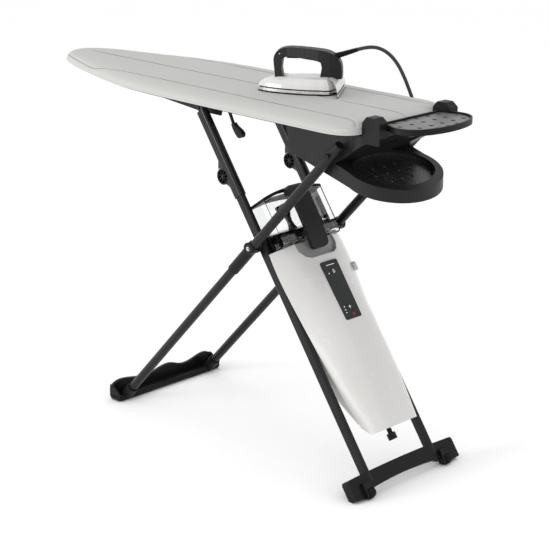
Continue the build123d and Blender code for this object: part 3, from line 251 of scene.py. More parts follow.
def build_materials():
    g = MATS
    # frame, sleeves, mouldings
    g["paint_grey"] = powder("Satin_black_tube", (0.0085, 0.0085, 0.009), 0.34)
    g["paint_black"] = powder("Board_frame_coat", (0.007, 0.007, 0.0075), 0.42)
    g["plastic_black"] = moulded("Black_moulding", (0.0062, 0.0062, 0.0065), 0.42, dust=0.2)
    g["plastic_gloss_black"] = moulded("Sleeve_black", (0.0055, 0.0055, 0.0058), 0.26, grain=1500, depth=0.00004,
                                       strength=0.15, dust=0.2)
    g["plastic_dark_grey"] = moulded("Housing_grey", (0.0125, 0.0125, 0.013), 0.40, dust=0.2)
    g["plastic_grey"] = moulded("Scoop_grey", (0.3, 0.3, 0.3), 0.4)
    g["rubber_black"] = moulded("Rubber", (0.007, 0.007, 0.007), 0.68, grain=500, strength=0.5, dust=0.5)
    g["plate_metal"] = powder("Rest_plate_coat", (0.12, 0.121, 0.123), 0.4)
    g["sole_black"] = metal("Sole_coating", (0.03, 0.03, 0.03), 0.4)
    g["aluminium_sole"] = metal("Sole_edge", (0.78, 0.78, 0.79), 0.22)
    g["boiler_steel"] = metal("Boiler_steel", (0.62, 0.62, 0.61), 0.3)
    g["steel_zinc"] = metal("Zinc", (0.55, 0.56, 0.58), 0.34)
    g["axle_steel"] = metal("Turned_steel", (0.5, 0.5, 0.51), 0.28)
    # white covers: hard gloss over a faintly warm white
    for nm, rgb in (("plastic_white", (0.60, 0.593, 0.578)),):
        m = Mat("White_gloss", rgb, 0.24, Coat_Weight=0.5, Coat_Roughness=0.06)
        m.color(m.ramp(m.noise(5, 4), [(0.3, shade(rgb, 0.985)), (0.7, shade(rgb, 1.02))]))
        m.roughness(m.remap(m.noise(45, 5, 0.7), 0.3, 0.75, 0.2, 0.31))
        m.bump(m.noise(650, 2), 0.06, 0.00006)
        g[nm] = m.m
    # circuit board
    m = Mat("Circuit_board", (0.02, 0.12, 0.05), 0.35)
    m.color(m.ramp(m.voronoi(240, "DISTANCE_TO_EDGE"), [(0.02, (0.25, 0.2, 0.06)), (0.08, (0.015, 0.1, 0.04))]))
    g["pcb_green"] = m.m
    g["felt"] = felt_material()
    g["fabric_grey"] = cover_material()
    g["hose_braid"] = hose_material("Hose_braid", (0.012, 0.012, 0.0125))
    g["panel_black"] = panel_material()
    g["plastic_clear"] = clear_material("Clear_plastic", (0.99, 0.993, 0.995), 0.02)
    # deep blacks reflect little of the studio
    for nm, spec in (("paint_grey", 0.16), ("paint_black", 0.16), ("plastic_black", 0.16), ("plastic_gloss_black", 0.3),
                     ("plastic_dark_grey", 0.18), ("rubber_black", 0.12), ("plate_metal", 0.3)):
        for nd in g[nm].node_tree.nodes:
            if nd.type == "BSDF_PRINCIPLED":
                nd.inputs["Specular IOR Level"].default_value = spec


def felt_material():
    m = Mat("Felt", (0.7, 0.69, 0.66), 0.95, Sheen_Weight=0.4)
    m.color(m.ramp(m.noise(260, 6, 0.8), [(0.3, (0.55, 0.54, 0.51)), (0.7, (0.78, 0.77, 0.74))]))
    m.bump(m.noise(420, 5, 0.8), 0.5, 0.0006)
    return m.m


def cover_material():
    """Plain-woven cotton, warm light grey with a fine heather."""
    base = (0.462, 0.459, 0.445)
    m = Mat("Cover_cotton", base, 0.88, Sheen_Weight=0.12, Sheen_Roughness=0.5)
    co = m.co()
    sep = m.node("ShaderNodeSeparateXYZ")
    m.link(co, sep.inputs[0])
    # threads: one sine per direction, about 0.8 mm apart, slightly wandering
    wob = m.noise(120, 2)
    tx = m.math("ADD", m.math("MULTIPLY", sep.outputs[0], 7400), m.math("MULTIPLY", wob, 4.0))
    ty = m.math("ADD", m.math("MULTIPLY", sep.outputs[1], 7400), m.math("MULTIPLY", wob, 4.0))
    sx, sy = m.math("SINE", tx), m.math("SINE", ty)
    weave = m.math("MULTIPLY", sx, sy)
    slub = m.noise(900, 3, 0.7)
    heather = m.noise(2300, 2, 0.6)
    drift = m.noise(3.2, 4, 0.55)
    # the colour follows the weave relief: painted shade in the low points between the threads and a slight painted
    # highlight on the raised threads
    col = m.ramp(m.remap(weave, -1, 1, 0, 1), [(0.0, shade(base, 0.93)), (1.0, shade(base, 1.05))])
    col = m.mix(m.remap(heather, 0.42, 0.62, 0, 0.32), col, shade(base, 0.86))
    col = m.mix(m.remap(slub, 0.62, 0.8, 0, 0.4), col, shade(base, 1.14))
    col = m.mix(0.5, col, m.ramp(drift, [(0.3, shade(base, 0.97)), (0.7, shade(base, 1.03))]))
    m.color(col)
    m.roughness(m.remap(drift, 0.3, 0.7, 0.84, 0.93))
    m.bump(weave, 0.35, 0.00025)
    m.bump(slub, 0.2, 0.0003)
    m.bump(m.noise(26, 3, 0.5), 0.22, 0.0012)
    return m.m


def hose_material(name, rgb):
    """Braided textile sleeve: two crossing helices of strands."""
    m = Mat(name, rgb, 0.62, Sheen_Weight=0.25, Sheen_Roughness=0.4)
    uv = m.node("ShaderNodeUVMap", uv_map="UVMap")
    sep = m.node("ShaderNodeSeparateXYZ")
    m.link(uv.outputs[0], sep.inputs[0])
    u, v = sep.outputs[0], sep.outputs[1]
    k = 2 * math.pi
    a = m.math("SINE", m.math("ADD", m.math("MULTIPLY", u, 8 * k), m.math("MULTIPLY", v, 2100)))
    b = m.math("SINE", m.math("SUBTRACT", m.math("MULTIPLY", u, 8 * k), m.math("MULTIPLY", v, 2100)))
    braid = m.math("MAXIMUM", a, b)
    # the colour follows the braid relief: the grooves between the strands are painted darker as painted shade, and the
    # strand crests lighter as a painted highlight
    col = m.ramp(m.remap(braid, -0.6, 1, 0, 1), [(0.0, shade(rgb, 0.5)), (1.0, shade(rgb, 2.2))])
    col = m.mix(m.remap(m.noise(800, 4, 0.7), 0.6, 0.8, 0, 0.3), col, shade(rgb, 4.0))
    m.color(col)
    m.bump(braid, 0.7, 0.0004)
    return m.m


def panel_material():
    m = Mat("Smoked_panel", (0.012, 0.014, 0.0135), 0.16, Coat_Weight=0.15, Coat_Roughness=0.05, Specular_IOR_Level=0.2)
    m.color(m.ramp(m.noise(12, 4), [(0.3, (0.010, 0.012, 0.0115)), (0.7, (0.016, 0.0185, 0.018))]))
    m.roughness(m.remap(m.noise(60, 5, 0.75), 0.4, 0.75, 0.09, 0.24))
    return m.m


def clear_material(name, rgb, rough, alpha=None):
    m = Mat(name, rgb, rough, Transmission_Weight=1.0, IOR=1.46)
    m.roughness(m.remap(m.noise(20, 5, 0.7), 0.35, 0.75, rough * 0.6, rough * 1.8))
    m.bump(m.noise(14, 3), 0.04, 0.0005)
    return m.m


def lamp_material(name, rgb, strength):
    m = Mat(name, rgb, 0.3)
    m.b.inputs["Emission Color"].default_value = (*rgb, 1)
    m.b.inputs["Emission Strength"].default_value = strength
    m.color(m.ramp(m.noise(900, 2), [(0.3, shade(rgb, 0.9)), (0.7, rgb)]))
    return m.m


build_materials()

# ------------------------------------------------------------------ CAD nodes get their materials
SLOT_OF = {s["node"]: s["material_slot"] for s in frame["record"]["subparts"]}


def paint(node, mat):
    o = NODES[node]
    if not o.material_slots:
        o.data.materials.append(mat)
    for sl in o.material_slots:
        sl.material = mat


for _n, _s in SLOT_OF.items():
    if _n in NODES and _s in MATS:
        paint(_n, MATS[_s])


def add_mesh(name, verts, faces, mat, body, smooth=True, uvs=None):
    me = bpy.data.meshes.new(name)
    me.from_pydata([tuple(v) for v in verts], [], faces)
    me.validate()
    if smooth:
        me.polygons.foreach_set("use_smooth", [True] * len(me.polygons))
    if uvs is not None:
        lay = me.uv_layers.new(name="UVMap")
        for loop in me.loops:
            lay.data[loop.index].uv = uvs[loop.vertex_index]
    me.materials.append(mat)
    o = bpy.data.objects.new(name, me)
    scene.collection.objects.link(o)
    if body:
        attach(o, body)
    return o


def bm_object(name, bm, mat, body, smooth=True, angle=None):
    me = bpy.data.meshes.new(name)
    bmesh.ops.recalc_face_normals(bm, faces=bm.faces)
    bm.to_mesh(me)
    bm.free()
    me.polygons.foreach_set("use_smooth", [smooth] * len(me.polygons))
    if smooth and angle is not None:
        me.set_sharp_from_angle(angle=math.radians(angle))
    me.materials.append(mat)
    o = bpy.data.objects.new(name, me)
    scene.collection.objects.link(o)
    if body:
        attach(o, body)
    return o


# ------------------------------------------------------------------ steam hose
boot_d = Vector((53 * math.cos(PHI), 53 * math.sin(PHI), 17.5)).normalized()
H0 = iron_at(259, 0, 1075)
HOSE_D = 0.0095
HOSE = [H0, H0 + boot_d * 0.021] + [Vector(p) / 1000 for p in (
    (358, 138, 1081), (376, 163, 1064), (388, 184, 1035), (397, 200, 1000), (405, 213, 963),
    (410, 223, 934), (410.6, 218.8, 910), (410.6, 204.4, 890.8), (410, 183, 880), (410, 159, 880))]


def nurbs_points(name, pts, res=10):
    """Points along a cord's own NURBS spline."""
    cu = bpy.data.curves.new(name, "CURVE")
    cu.dimensions = "3D"
    sp = cu.splines.new("NURBS")
    sp.points.add(len(pts) - 1)
    for p, v in zip(sp.points, pts):
        p.co = (*v, 1)
    sp.order_u = 3
    sp.use_endpoint_u = True
    sp.resolution_u = res
    ob = bpy.data.objects.new(name, cu)
    scene.collection.objects.link(ob)
    bpy.context.view_layer.update()
    me = bpy.data.meshes.new_from_object(ob.evaluated_get(bpy.context.evaluated_depsgraph_get()))
    out = [v.co.copy() for v in me.vertices]
    bpy.data.meshes.remove(me)
    bpy.data.objects.remove(ob)
    bpy.data.curves.remove(cu)
    return out


def tube_mesh(path, radius, sides=20, rfun=None):
    """Verts, faces, uvs of a closed tube along path (rotation-minimising frame)."""
    n = len(path)
    tang = []
    for i in range(n):
        a, b = path[max(0, i - 1)], path[min(n - 1, i + 1)]
        tang.append((b - a).normalized())
    ref = tang[0].orthogonal().normalized()
    verts, uvs, faces = [], [], []
    L = 0.0
    for i in range(n):
        if i:
            L += (path[i] - path[i - 1]).length
            ref = (ref - tang[i] * ref.dot(tang[i])).normalized()
        bi = tang[i].cross(ref)
        for k in range(sides + 1):
            th = 2 * math.pi * k / sides
            r = radius if rfun is None else rfun(L, th)
            verts.append(path[i] + ref * (math.cos(th) * r) + bi * (math.sin(th) * r))
            uvs.append((k / sides, L))
    w = sides + 1
    for i in range(n - 1):
        for k in range(sides):
            faces.append((i * w + k, i * w + k + 1, (i + 1) * w + k + 1, (i + 1) * w + k))
    for i, flip in ((0, True), (n - 1, False)):
        c = len(verts)
        verts.append(path[i].copy())
        uvs.append((0.5, L if i else 0))
        for k in range(sides):
            f = (i * w + k, i * w + k + 1, c)
            faces.append(f[::-1] if flip else f)
    return verts, faces, uvs, L


hose_path = nurbs_points("hose_line", HOSE, 12)
hv, hf, huv, hose_len = tube_mesh(hose_path, HOSE_D / 2, 24)
hose = add_mesh("Steam_hose", hv, hf, MATS["hose_braid"], None, uvs=huv)
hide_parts("steam_hose")
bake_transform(hose)


# ------------------------------------------------------------------ board cover
W_PTS = [(-730, 0), (-703.6, 46), (-650.8, 78), (-571.6, 108.5), (-439.6, 150), (-254.8, 191), (-43.6, 202),
         (194, 203), (470, 203)]
TAIL_PTS = [(470, 203), (517, 199), (548, 185.5), (562.5, 167), (566.4, 152), (565.6, 138), (565.4, 122), (568.5, 112.5), (579, 109.5),
            (587.5, 106), (590, 96)]


def spline2(pts, t0, t1, step):
    """Cubic through pts with end directions t0 and t1, sampled about every step."""
    P = np.array(pts, float)
    u = np.concatenate([[0], np.cumsum(np.hypot(*np.diff(P, axis=0).T))])
    n = len(P)
    h = np.diff(u)
    A = np.zeros((n, n))
    R = np.zeros((n, 2))
    A[0, 0] = A[-1, -1] = 1
    R[0], R[-1] = t0, t1
    for i in range(1, n - 1):
        A[i, i - 1], A[i, i], A[i, i + 1] = h[i], 2 * (h[i - 1] + h[i]), h[i - 1]
        R[i] = 3 * (h[i] * (P[i] - P[i - 1]) / h[i - 1] + h[i - 1] * (P[i + 1] - P[i]) / h[i])
    D = np.linalg.solve(A, R)
    out = []
    for i in range(n - 1):
        k = max(2, int(round(h[i] / step)))
        for j in range(k):
            t = j / k
            a, b, c, d = P[i], D[i] * h[i], P[i + 1], D[i + 1] * h[i]
            h00, h10 = 2 * t ** 3 - 3 * t ** 2 + 1, t ** 3 - 2 * t ** 2 + t
            h01, h11 = -2 * t ** 3 + 3 * t ** 2, t ** 3 - t ** 2
            out.append(h00 * a + h10 * b + h01 * c + h11 * d)
    out.append(P[-1])
    return np.array(out)


def cover_outline(step):
    """Closed plan outline, from the nose round the far side (+Y) to the tail and back."""
    main = spline2(W_PTS, (0, 1), (1, 0), step)
    tail = spline2(TAIL_PTS, (1, 0), (0, -1), step * 0.6)
    k = max(2, int(192 / step))
    edge = np.array([(590, 96 - 192 * i / k) for i in range(1, k)])
    far = np.vstack([main, tail[1:]])
    near = far[::-1].copy()
    near[:, 1] *= -1
    return np.vstack([far, edge, near[:-1]])


X_LO, X_HI = -600.0, 440.0


def spine(p):
    return np.array([min(max(p[0], X_LO), X_HI), 0.0])


def skirt_radius(span):
    return min(66.0, 0.46 * span)


def top_height(d, span):
    """Height of the cloth at d inside the edge, above the hem line."""
    R = skirt_radius(span)
    t = min(max(d / R, 0.0), 1.0)
    return 34.0 * (1 - (1 - t) ** 2.4) ** (1 / 3.0)


OUT = cover_outline(6.0)
_pol = {}
for _side, _sx in (("lo", X_LO), ("hi", X_HI)):
    th = np.unwrap(np.arctan2(OUT[:, 1], OUT[:, 0] - _sx))
    _pol[_side] = (np.mod(np.arctan2(OUT[:, 1], OUT[:, 0] - _sx), 2 * math.pi),
                   np.hypot(OUT[:, 0] - _sx, OUT[:, 1]))


def half_width(x):
    far = OUT[(OUT[:, 1] > 0)]
    o = np.argsort(far[:, 0])
    return float(np.interp(x, far[o, 0], far[o, 1]))


def edge_distance(x, y):
    """(distance inside the edge, span) at a plan point."""
    if X_LO <= x <= X_HI:
        w = half_width(x)
        return w - abs(y), w
    th_, r_ = _pol["lo" if x < X_LO else "hi"]
    sx = X_LO if x < X_LO else X_HI
    a = math.atan2(y, x - sx) % (2 * math.pi)
    o = np.argsort(th_)
    R = float(np.interp(a, th_[o], r_[o], period=2 * math.pi))
    return R - math.hypot(x - sx, y), R


def cover_z(x, y):
    d, span = edge_distance(x, y)
    return 928.0 + top_height(d, span)


# sewn seams: two side seams and one near the middle
def side_seam(sgn):
    pts = []
    for x in np.arange(-690, 497, 4.0):
        y = min(134.5, half_width(x) - 7.5)
        pts.append((x, y))
    k = 6                       # soften the corner where the seam leaves the edge
    arr = np.array(pts)
    sm = arr.copy()
    for i in range(k, len(arr) - k):
        sm[i] = arr[i - k:i + k + 1].mean(0)
    tail = spline2([(496, 134.5), (524, 138), (544, 146), (558, 158)], (1, 0.02), (0.6, 0.8), 3.0)
    allp = np.vstack([sm[:-2], tail[1:]])
    allp[:, 1] *= sgn
    return allp


SEAMS = [side_seam(-1), side_seam(1), np.array([(x, 4.0 + 3 * math.sin(x / 260)) for x in np.arange(-640, 584, 4.0)])]


def seam_distance(x, y):
    best = 1e9
    for s in SEAMS:
        i = int(np.argmin((s[:, 0] - x) ** 2 + (s[:, 1] - y) ** 2))
        j = min(max(i, 1), len(s) - 2)
        a, b = s[j - 1], s[j + 1]
        ab = b - a
        t = float(np.clip(((x - a[0]) * ab[0] + (y - a[1]) * ab[1]) / (ab @ ab), 0, 1))
        q = a + t * ab
        best = min(best, math.hypot(x - q[0], y - q[1]))
    return best


def wobble(x, y, s, seed=0.0):
    from mathutils import noise
    return noise.noise(Vector((x / s + seed, y / s - seed, seed * 1.7)))


def build_cover():
    step = 6.0
    out = cover_outline(step)
    n = len(out)
    insets = [0.0, 0.6, 1.6, 3.2, 5.5, 8.5, 12, 16, 20.5, 25.5, 31, 37, 43, 49, 55, 61, 65, 68, 71, 75, 81, 88, 96, 105,
              115, 126, 138, 150, 162, 174, 184, 192, 197.5, 200.5, 203]
    verts, faces = [], []
    ring_of = []
    # hem: cloth turns under the rim and runs inwards to a drawn edge
    hem = [(16.0, 3.4), (10.0, 2.2), (4.5, 1.3), (1.6, 1.0), (0.35, 1.6), (-0.1, 3.4), (-0.1, 7.0)]
    for d, z in hem:
        ids = []
        for i, p in enumerate(out):
            s_ = spine(p)
            v = s_ - p
            L = np.hypot(*v)
            q = p + v / L * d
            x, y = q
            flat = 1.0
            if p[0] > 556:                  # tucked flat behind the posts and the rest
                q = p + v / L * min(d, 3.0)
            pl = 0.5 * wobble(x, y, 13, 3.0) * (1 if p[0] < 540 else 0.2)
            ids.append(len(verts))
            verts.append((q[0] / 1000, q[1] / 1000, (932.5 + z + (pl if d > 4 else 0)) / 1000))
        ring_of.append(ids)
    for dn in insets[1:]:
        ids = []
        for i, p in enumerate(out):
            s_ = spine(p)
            v = s_ - p
            L = float(np.hypot(*v))
            d = dn / 203.0 * L if dn > 66 else dn * min(1.0, skirt_radius(L) / 66.0)
            if dn > 66:                     # keep ring order where the span is short
                lo = skirt_radius(L)
                d = lo + (dn - 66) / (203.0 - 66) * (L - lo)
            q = p + v / L * min(d, L)
            x, y = float(q[0]), float(q[1])
            z = 928.0 + top_height(d, L)
            sd = seam_distance(x, y)
            z -= 1.5 * math.exp(-(sd / 3.2) ** 2)
            z += 0.75 * math.exp(-((sd - 8.5) / 6.0) ** 2)       # the wadding swells beside a seam
            z += 0.45 * wobble(x, y, 70, 1.0) + 0.16 * wobble(x, y, 17, 5.0)
            z += 0.35 * math.exp(-(sd / 9.0) ** 2) * wobble(x, y, 7, 9.0)
            if d > 2.2:                     # drawn tight over the frame's tail corners
                k = min(1.0, max(0.0, (p[0] - 525) / 22.0))
                z += k * max(0.0, 950.6 - z)
            z = min(z, 962.3)
            ids.append(len(verts))
            verts.append((x / 1000, y / 1000, z / 1000))
        ring_of.append(ids)
    for a, b in zip(ring_of[:-1], ring_of[1:]):
        for i in range(n):
            j = (i + 1) % n
            faces.append((a[i], a[j], b[j], b[i]))
    me = bpy.data.meshes.new("Board_cover")
    me.from_pydata(verts, [], faces)
    bm = bmesh.new()
    bm.from_mesh(me)
    bmesh.ops.remove_doubles(bm, verts=bm.verts, dist=0.0009)
    bmesh.ops.dissolve_degenerate(bm, edges=bm.edges, dist=0.0002)
    bmesh.ops.recalc_face_normals(bm, faces=bm.faces)
    if sum(f.normal.z for f in bm.faces) < 0:
        bmesh.ops.reverse_faces(bm, faces=bm.faces)
    bm.to_mesh(me)
    bm.free()
    me.polygons.foreach_set("use_smooth", [True] * len(me.polygons))
    me.materials.append(MATS["fabric_grey"])
    o = bpy.data.objects.new("Board_cover", me)
    scene.collection.objects.link(o)
    md = o.modifiers.new("Thickness", "SOLIDIFY")
    md.thickness = 0.0009
    md.offset = -1
    sub = o.modifiers.new("Smooth", "SUBSURF")
    sub.levels = sub.render_levels = 1
    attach(o, "table")
    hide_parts("cover")
    return o


cover = build_cover()


# stitches: short thread loops sunk into the seams
def build_stitches():
    bm = bmesh.new()
    pitch, ln, r = 6.0, 3.6, 0.5
    for si, s in enumerate(SEAMS):
        seg = np.hypot(*np.diff(s, axis=0).T)
        u = np.concatenate([[0], np.cumsum(seg)])
        total = u[-1]
        for q in np.arange(2.0, total - 3.0, pitch):
            c0 = np.array([np.interp(q, u, s[:, 0]), np.interp(q, u, s[:, 1])])
            c1 = np.array([np.interp(q + ln, u, s[:, 0]), np.interp(q + ln, u, s[:, 1])])
            pts = []
            for k in range(4):
                p = c0 + (c1 - c0) * k / 3
                arch = (0.0, 0.62, 0.62, 0.0)[k]
                pts.append(Vector((p[0], p[1], cover_z(p[0], p[1]) - 0.95 + arch)) / 1000)
            vs, fs, _, _ = tube_mesh(pts, r / 1000, 6)
            base = [bm.verts.new(v) for v in vs]
            for f in fs:
                try:
                    bm.faces.new([base[i] for i in f])
                except ValueError:
                    pass
    bmesh.ops.remove_doubles(bm, verts=bm.verts, dist=1e-6)
    m = Mat("Stitch_thread", (0.05, 0.055, 0.055), 0.7)
    m.color(m.ramp(m.noise(1500, 2), [(0.3, (0.035, 0.038, 0.038)), (0.7, (0.075, 0.08, 0.08))]))
    return bm_object("Cover_stitches", bm, m.m, "table")


stitches = build_stitches()


# ------------------------------------------------------------------ felt pad: crowned, thin at its rim
def build_felt():
    out = cover_outline(14.0)
    n = len(out)
    verts, faces, rings = [], [], []
    for d, top in [(15.5, 0), (14.2, 0.35), (14.2, 0.8), (16, 1), (20, 1), (28, 1), (40, 1), (56, 1), (80, 1), (110, 1),
                   (150, 1), (185, 1), (203, 1)]:
        ids = []
        for p in out:
            s_ = spine(p)
            v = s_ - p
            L = float(np.hypot(*v))
            dd = d if d < 60 else 60 + (d - 60) / 143.0 * max(L - 60, 0)
            dd = min(dd, L)
            if p[0] > 552:
                dd = min(dd + 6, L)
            q = p + v / L * dd
            zt = min(928.0 + top_height(dd, L) - 2.6, 957.2)
            z = 949.2 + (max(zt, 950.2) - 949.2) * top
            ids.append(len(verts))
            verts.append((q[0] / 1000, q[1] / 1000, z / 1000))
        rings.append(ids)
    for a, b in zip(rings[:-1], rings[1:]):
        for i in range(n):
            j = (i + 1) % n
            faces.append((a[i], a[j], b[j], b[i]))
    bot = []
    for p in out:
        s_ = spine(p)
        v = s_ - p
        L = float(np.hypot(*v))
        bot.append(len(verts))
        verts.append((s_[0] / 1000, 0.0, 0.9492))
    for i in range(n):
        j = (i + 1) % n
        faces.append((rings[0][j], rings[0][i], bot[i], bot[j]))
    me = bpy.data.meshes.new("Felt_pad")
    me.from_pydata(verts, [], faces)
    bm = bmesh.new()
    bm.from_mesh(me)
    bmesh.ops.remove_doubles(bm, verts=bm.verts, dist=0.0004)
    bpy.data.meshes.remove(me)
    o = bm_object("Felt_pad", bm, MATS["felt"], "table")
    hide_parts("felt_pad")
    return o


felt = build_felt()

# ------------------------------------------------------------------ small visual pieces
def prism(bm, pts, thick):
    """Closed prism from a plane outline of points and a thickness vector."""
    lo = [bm.verts.new(p) for p in pts]
    hi = [bm.verts.new(p + thick) for p in pts]
    n = len(pts)
    bm.faces.new(lo[::-1])
    bm.faces.new(hi)
    for i in range(n):
        j = (i + 1) % n
        bm.faces.new((lo[i], lo[j], hi[j], hi[i]))


def ring_prism(bm, outer, inner, thick):
    """Closed ring from two outlines with the same number of points."""
    lo, li = [bm.verts.new(p) for p in outer], [bm.verts.new(p) for p in inner]
    ho, hi = [bm.verts.new(p + thick) for p in outer], [bm.verts.new(p + thick) for p in inner]
    n = len(outer)
    for i in range(n):
        j = (i + 1) % n
        bm.faces.new((lo[i], lo[j], ho[j], ho[i]))
        bm.faces.new((li[j], li[i], hi[i], hi[j]))
        bm.faces.new((ho[i], ho[j], hi[j], hi[i]))
        bm.faces.new((lo[j], lo[i], li[i], li[j]))


def dome(bm, c, axis, r, h, sides=18, rings=4, sink=0.0004):
    """Low closed dome standing on its centre c along axis."""
    axis = axis.normalized()
    u = axis.orthogonal().normalized()
    v = axis.cross(u)
    prev = None
    base = [bm.verts.new(c - axis * sink + (u * math.cos(t) + v * math.sin(t)) * r)
            for t in (2 * math.pi * k / sides for k in range(sides))]
    bm.faces.new(base[::-1])
    prev = base
    for i in range(rings):
        a = math.pi / 2 * i / rings
        ring = [bm.verts.new(c + axis * (h * math.sin(a)) + (u * math.cos(t) + v * math.sin(t)) * (r * math.cos(a)))
                for t in (2 * math.pi * k / sides for k in range(sides))]
        for k in range(sides):
            j = (k + 1) % sides
            bm.faces.new((prev[k], prev[j], ring[j], ring[k]))
        prev = ring
    top = bm.verts.new(c + axis * h)
    for k in range(sides):
        bm.faces.new((prev[k], prev[(k + 1) % sides], top))


# smoked translucent dial
_m = Mat("Dial_smoke", (0.62, 0.62, 0.61), 0.22, Transmission_Weight=0.35, IOR=1.46)
_m.color(_m.ramp(_m.noise(40, 3), [(0.3, (0.57, 0.57, 0.56)), (0.7, (0.66, 0.66, 0.65))]))
_m.roughness(_m.remap(_m.noise(60, 4, 0.7), 0.3, 0.75, 0.18, 0.32))
DIAL_GREY = _m.m

# symbols on the smoked panel: a drop in a ring, dots, a small star, a red mark
ICON_WHITE = lamp_material("Symbol_white", (0.75, 0.77, 0.76), 0.35)
ICON_RED = lamp_material("Symbol_red", (0.30, 0.008, 0.03), 0.12)
LED_WHITE = lamp_material("Lamp_white", (0.95, 0.97, 0.95), 0.9)


def panel_symbols():
    t = NB * 0.00035

    def at(s, y, ds, dy, n0=73.75):
        return leg(s + ds, y + dy, n0)

    # drop on the upper key
    bm = bmesh.new()
    m = 28
    drop_o, drop_i = [], []
    for k in range(m):
        a = 2 * math.pi * k / m
        rr = 1.0 + 0.42 * max(0.0, math.cos(a)) ** 5
        w = 1 - 0.25 * max(0, math.cos(a))
        drop_o.append(at(135.6, 1.6, -4.6 * rr * math.cos(a), 3.8 * math.sin(a) * w))
        drop_i.append(at(135.6, 1.6, -3.3 * rr * math.cos(a), 2.5 * math.sin(a) * w))
    ring_prism(bm, drop_o, drop_i, t)
    bm_object("Key_symbol_drop", bm, ICON_WHITE, "key_1", smooth=False)
    # four-pointed star on the lower key
    bm = bmesh.new()
    prism(bm, [at(237.2, 1.6, -(5.2 if k % 2 == 0 else 1.5) * math.cos(math.pi * k / 4),
                  (5.2 if k % 2 == 0 else 1.5) * math.sin(math.pi * k / 4)) for k in range(8)], t)
    bm_object("Key_symbol_star", bm, ICON_WHITE, "key_2", smooth=False)
    # plain rule at the head of the panel
    bm = bmesh.new()
    prism(bm, [at(116.0, 0, -0.7, -15, 72.9), at(116.0, 0, 0.7, -15, 72.9), at(116.0, 0, 0.7, 15, 72.9),
               at(116.0, 0, -0.7, 15, 72.9)], t)
    bm_object("Panel_rule", bm, ICON_WHITE, "inner_legs", smooth=False)
    bm = bmesh.new()
    o_, i_ = [], []
    for k in range(24):
        a = 2 * math.pi * k / 24
        o_.append(at(259.0, 5.2, 4.3 * math.cos(a), 4.3 * math.sin(a), 72.9))
        i_.append(at(259.0, 5.2, 2.6 * math.cos(a), 2.6 * math.sin(a), 72.9))
    ring_prism(bm, o_, i_, t)
    bm_object("Panel_red_mark", bm, ICON_RED, "inner_legs", smooth=False)
    bm = bmesh.new()
    for s, y in ((138.0, -16.5), (234.0, -16.6), (242.2, -16.5), (250.4, -16.6)):
        dome(bm, leg(s, y, 72.95), NB, 0.0013, 0.0005)
    bm_object("Panel_lamps", bm, LED_WHITE, "inner_legs")


panel_symbols()
paint("steam_dial", DIAL_GREY)
paint("tray_liner", moulded("Liner_grey", (0.02, 0.02, 0.0205), 0.3))

# ribbed boot on the hose
B0, B1 = iron_at(206, 0, 1057.5), iron_at(259, 0, 1075)
BD = (B1 - B0).normalized()
BL = (B1 - B0).length


def boot_radius(L, th):
    x = (L * 1000 - 5.5)
    if x < 8:
        return 0.0079
    k = min(1.0, (x - 8) / (BL * 1000 - 8))
    base = 0.0077 + (0.0057 - 0.0077) * k
    return base - (0.0011 if (x % 5.2) > 3.4 and k < 0.93 else 0.0)


bp = [B0 + BD * (-0.0055 + (BL + 0.0055) * i / 110) for i in range(111)]
bv, bf, buv, _ = tube_mesh(bp, 0.008, 28, boot_radius)
boot = add_mesh("Hose_boot", bv, bf, MATS["rubber_black"], "iron", uvs=buv)
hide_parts("hose_boot")
# grip ribs: shallow hoops over the top and the sides of the handle bar
def grip_ribs():
    bm = bmesh.new()
    top = lambda a: float(np.interp(a, [74, 112, 150, 166], [1077.0, 1077.5, 1074.5, 1072.6]))
    bot = lambda a: float(np.interp(a, [78, 110, 140, 160], [1053.5, 1052.0, 1047.5, 1044.0]))
    a = 80.0
    while a < 160:
        hy = 14 + (a - 60) / 130 * 4
        zt, zb = top(a), bot(a) + 2.2
        prof = lambda e: [(-hy - e, zb), (-hy - e, zt - 1.0), (-hy + 1.0 - e * 0.3, zt + e), (hy - 1.0 + e * 0.3, zt + e),
                          (hy + e, zt - 1.0), (hy + e, zb)]
        outer, inner = prof(0.8), prof(-0.8)
        w = 0.85
        rows = []
        for aa in (a - w, a + w):
            rows.append(([bm.verts.new(iron_at(aa, y, z)) for y, z in outer],
                         [bm.verts.new(iron_at(aa, y, z)) for y, z in inner]))
        (o0, i0), (o1, i1) = rows
        n = len(outer)
        for k in range(n - 1):
            bm.faces.new((o0[k], o0[k + 1], o1[k + 1], o1[k]))
            bm.faces.new((i0[k + 1], i0[k], i1[k], i1[k + 1]))
            bm.faces.new((i0[k], i0[k + 1], o0[k + 1], o0[k]))
            bm.faces.new((o1[k], o1[k + 1], i1[k + 1], i1[k]))
        bm.faces.new((i0[0], o0[0], o1[0], i1[0]))
        bm.faces.new((o0[-1], i0[-1], i1[-1], o1[-1]))
        a += 3.3
    bm_object("Grip_ribs", bm, moulded("Grip_rubber", (0.022, 0.022, 0.0225), 0.45), "iron", smooth=False)
    bm = bmesh.new()
    dome(bm, iron_at(60, -14.0, 1061), iron_at(0, -1, 0) - iron_at(0, 0, 0), 0.0013, 0.0005)
    bm_object("Iron_lamp", bm, ICON_WHITE, "iron")


grip_ribs()


def lathe(bm, prof, base, axis, sides=32):
    """Closed turned body; prof = [(t, r)] in millimetres along axis from base."""
    axis = axis.normalized()
    u = Vector((0, 1, 0))
    v = axis.cross(u).normalized()
    prev = None
    for t, r in prof:
        ring = [bm.verts.new(base + axis * (t / 1000) + (u * math.cos(q) + v * math.sin(q)) * (r / 1000))
                for q in (2 * math.pi * k / sides for k in range(sides))]
        if prev:
            for k in range(sides):
                j = (k + 1) % sides
                bm.faces.new((prev[k], prev[j], ring[j], ring[k]))
        else:
            bm.faces.new(ring[::-1])
        prev = ring
    bm.faces.new(prev)


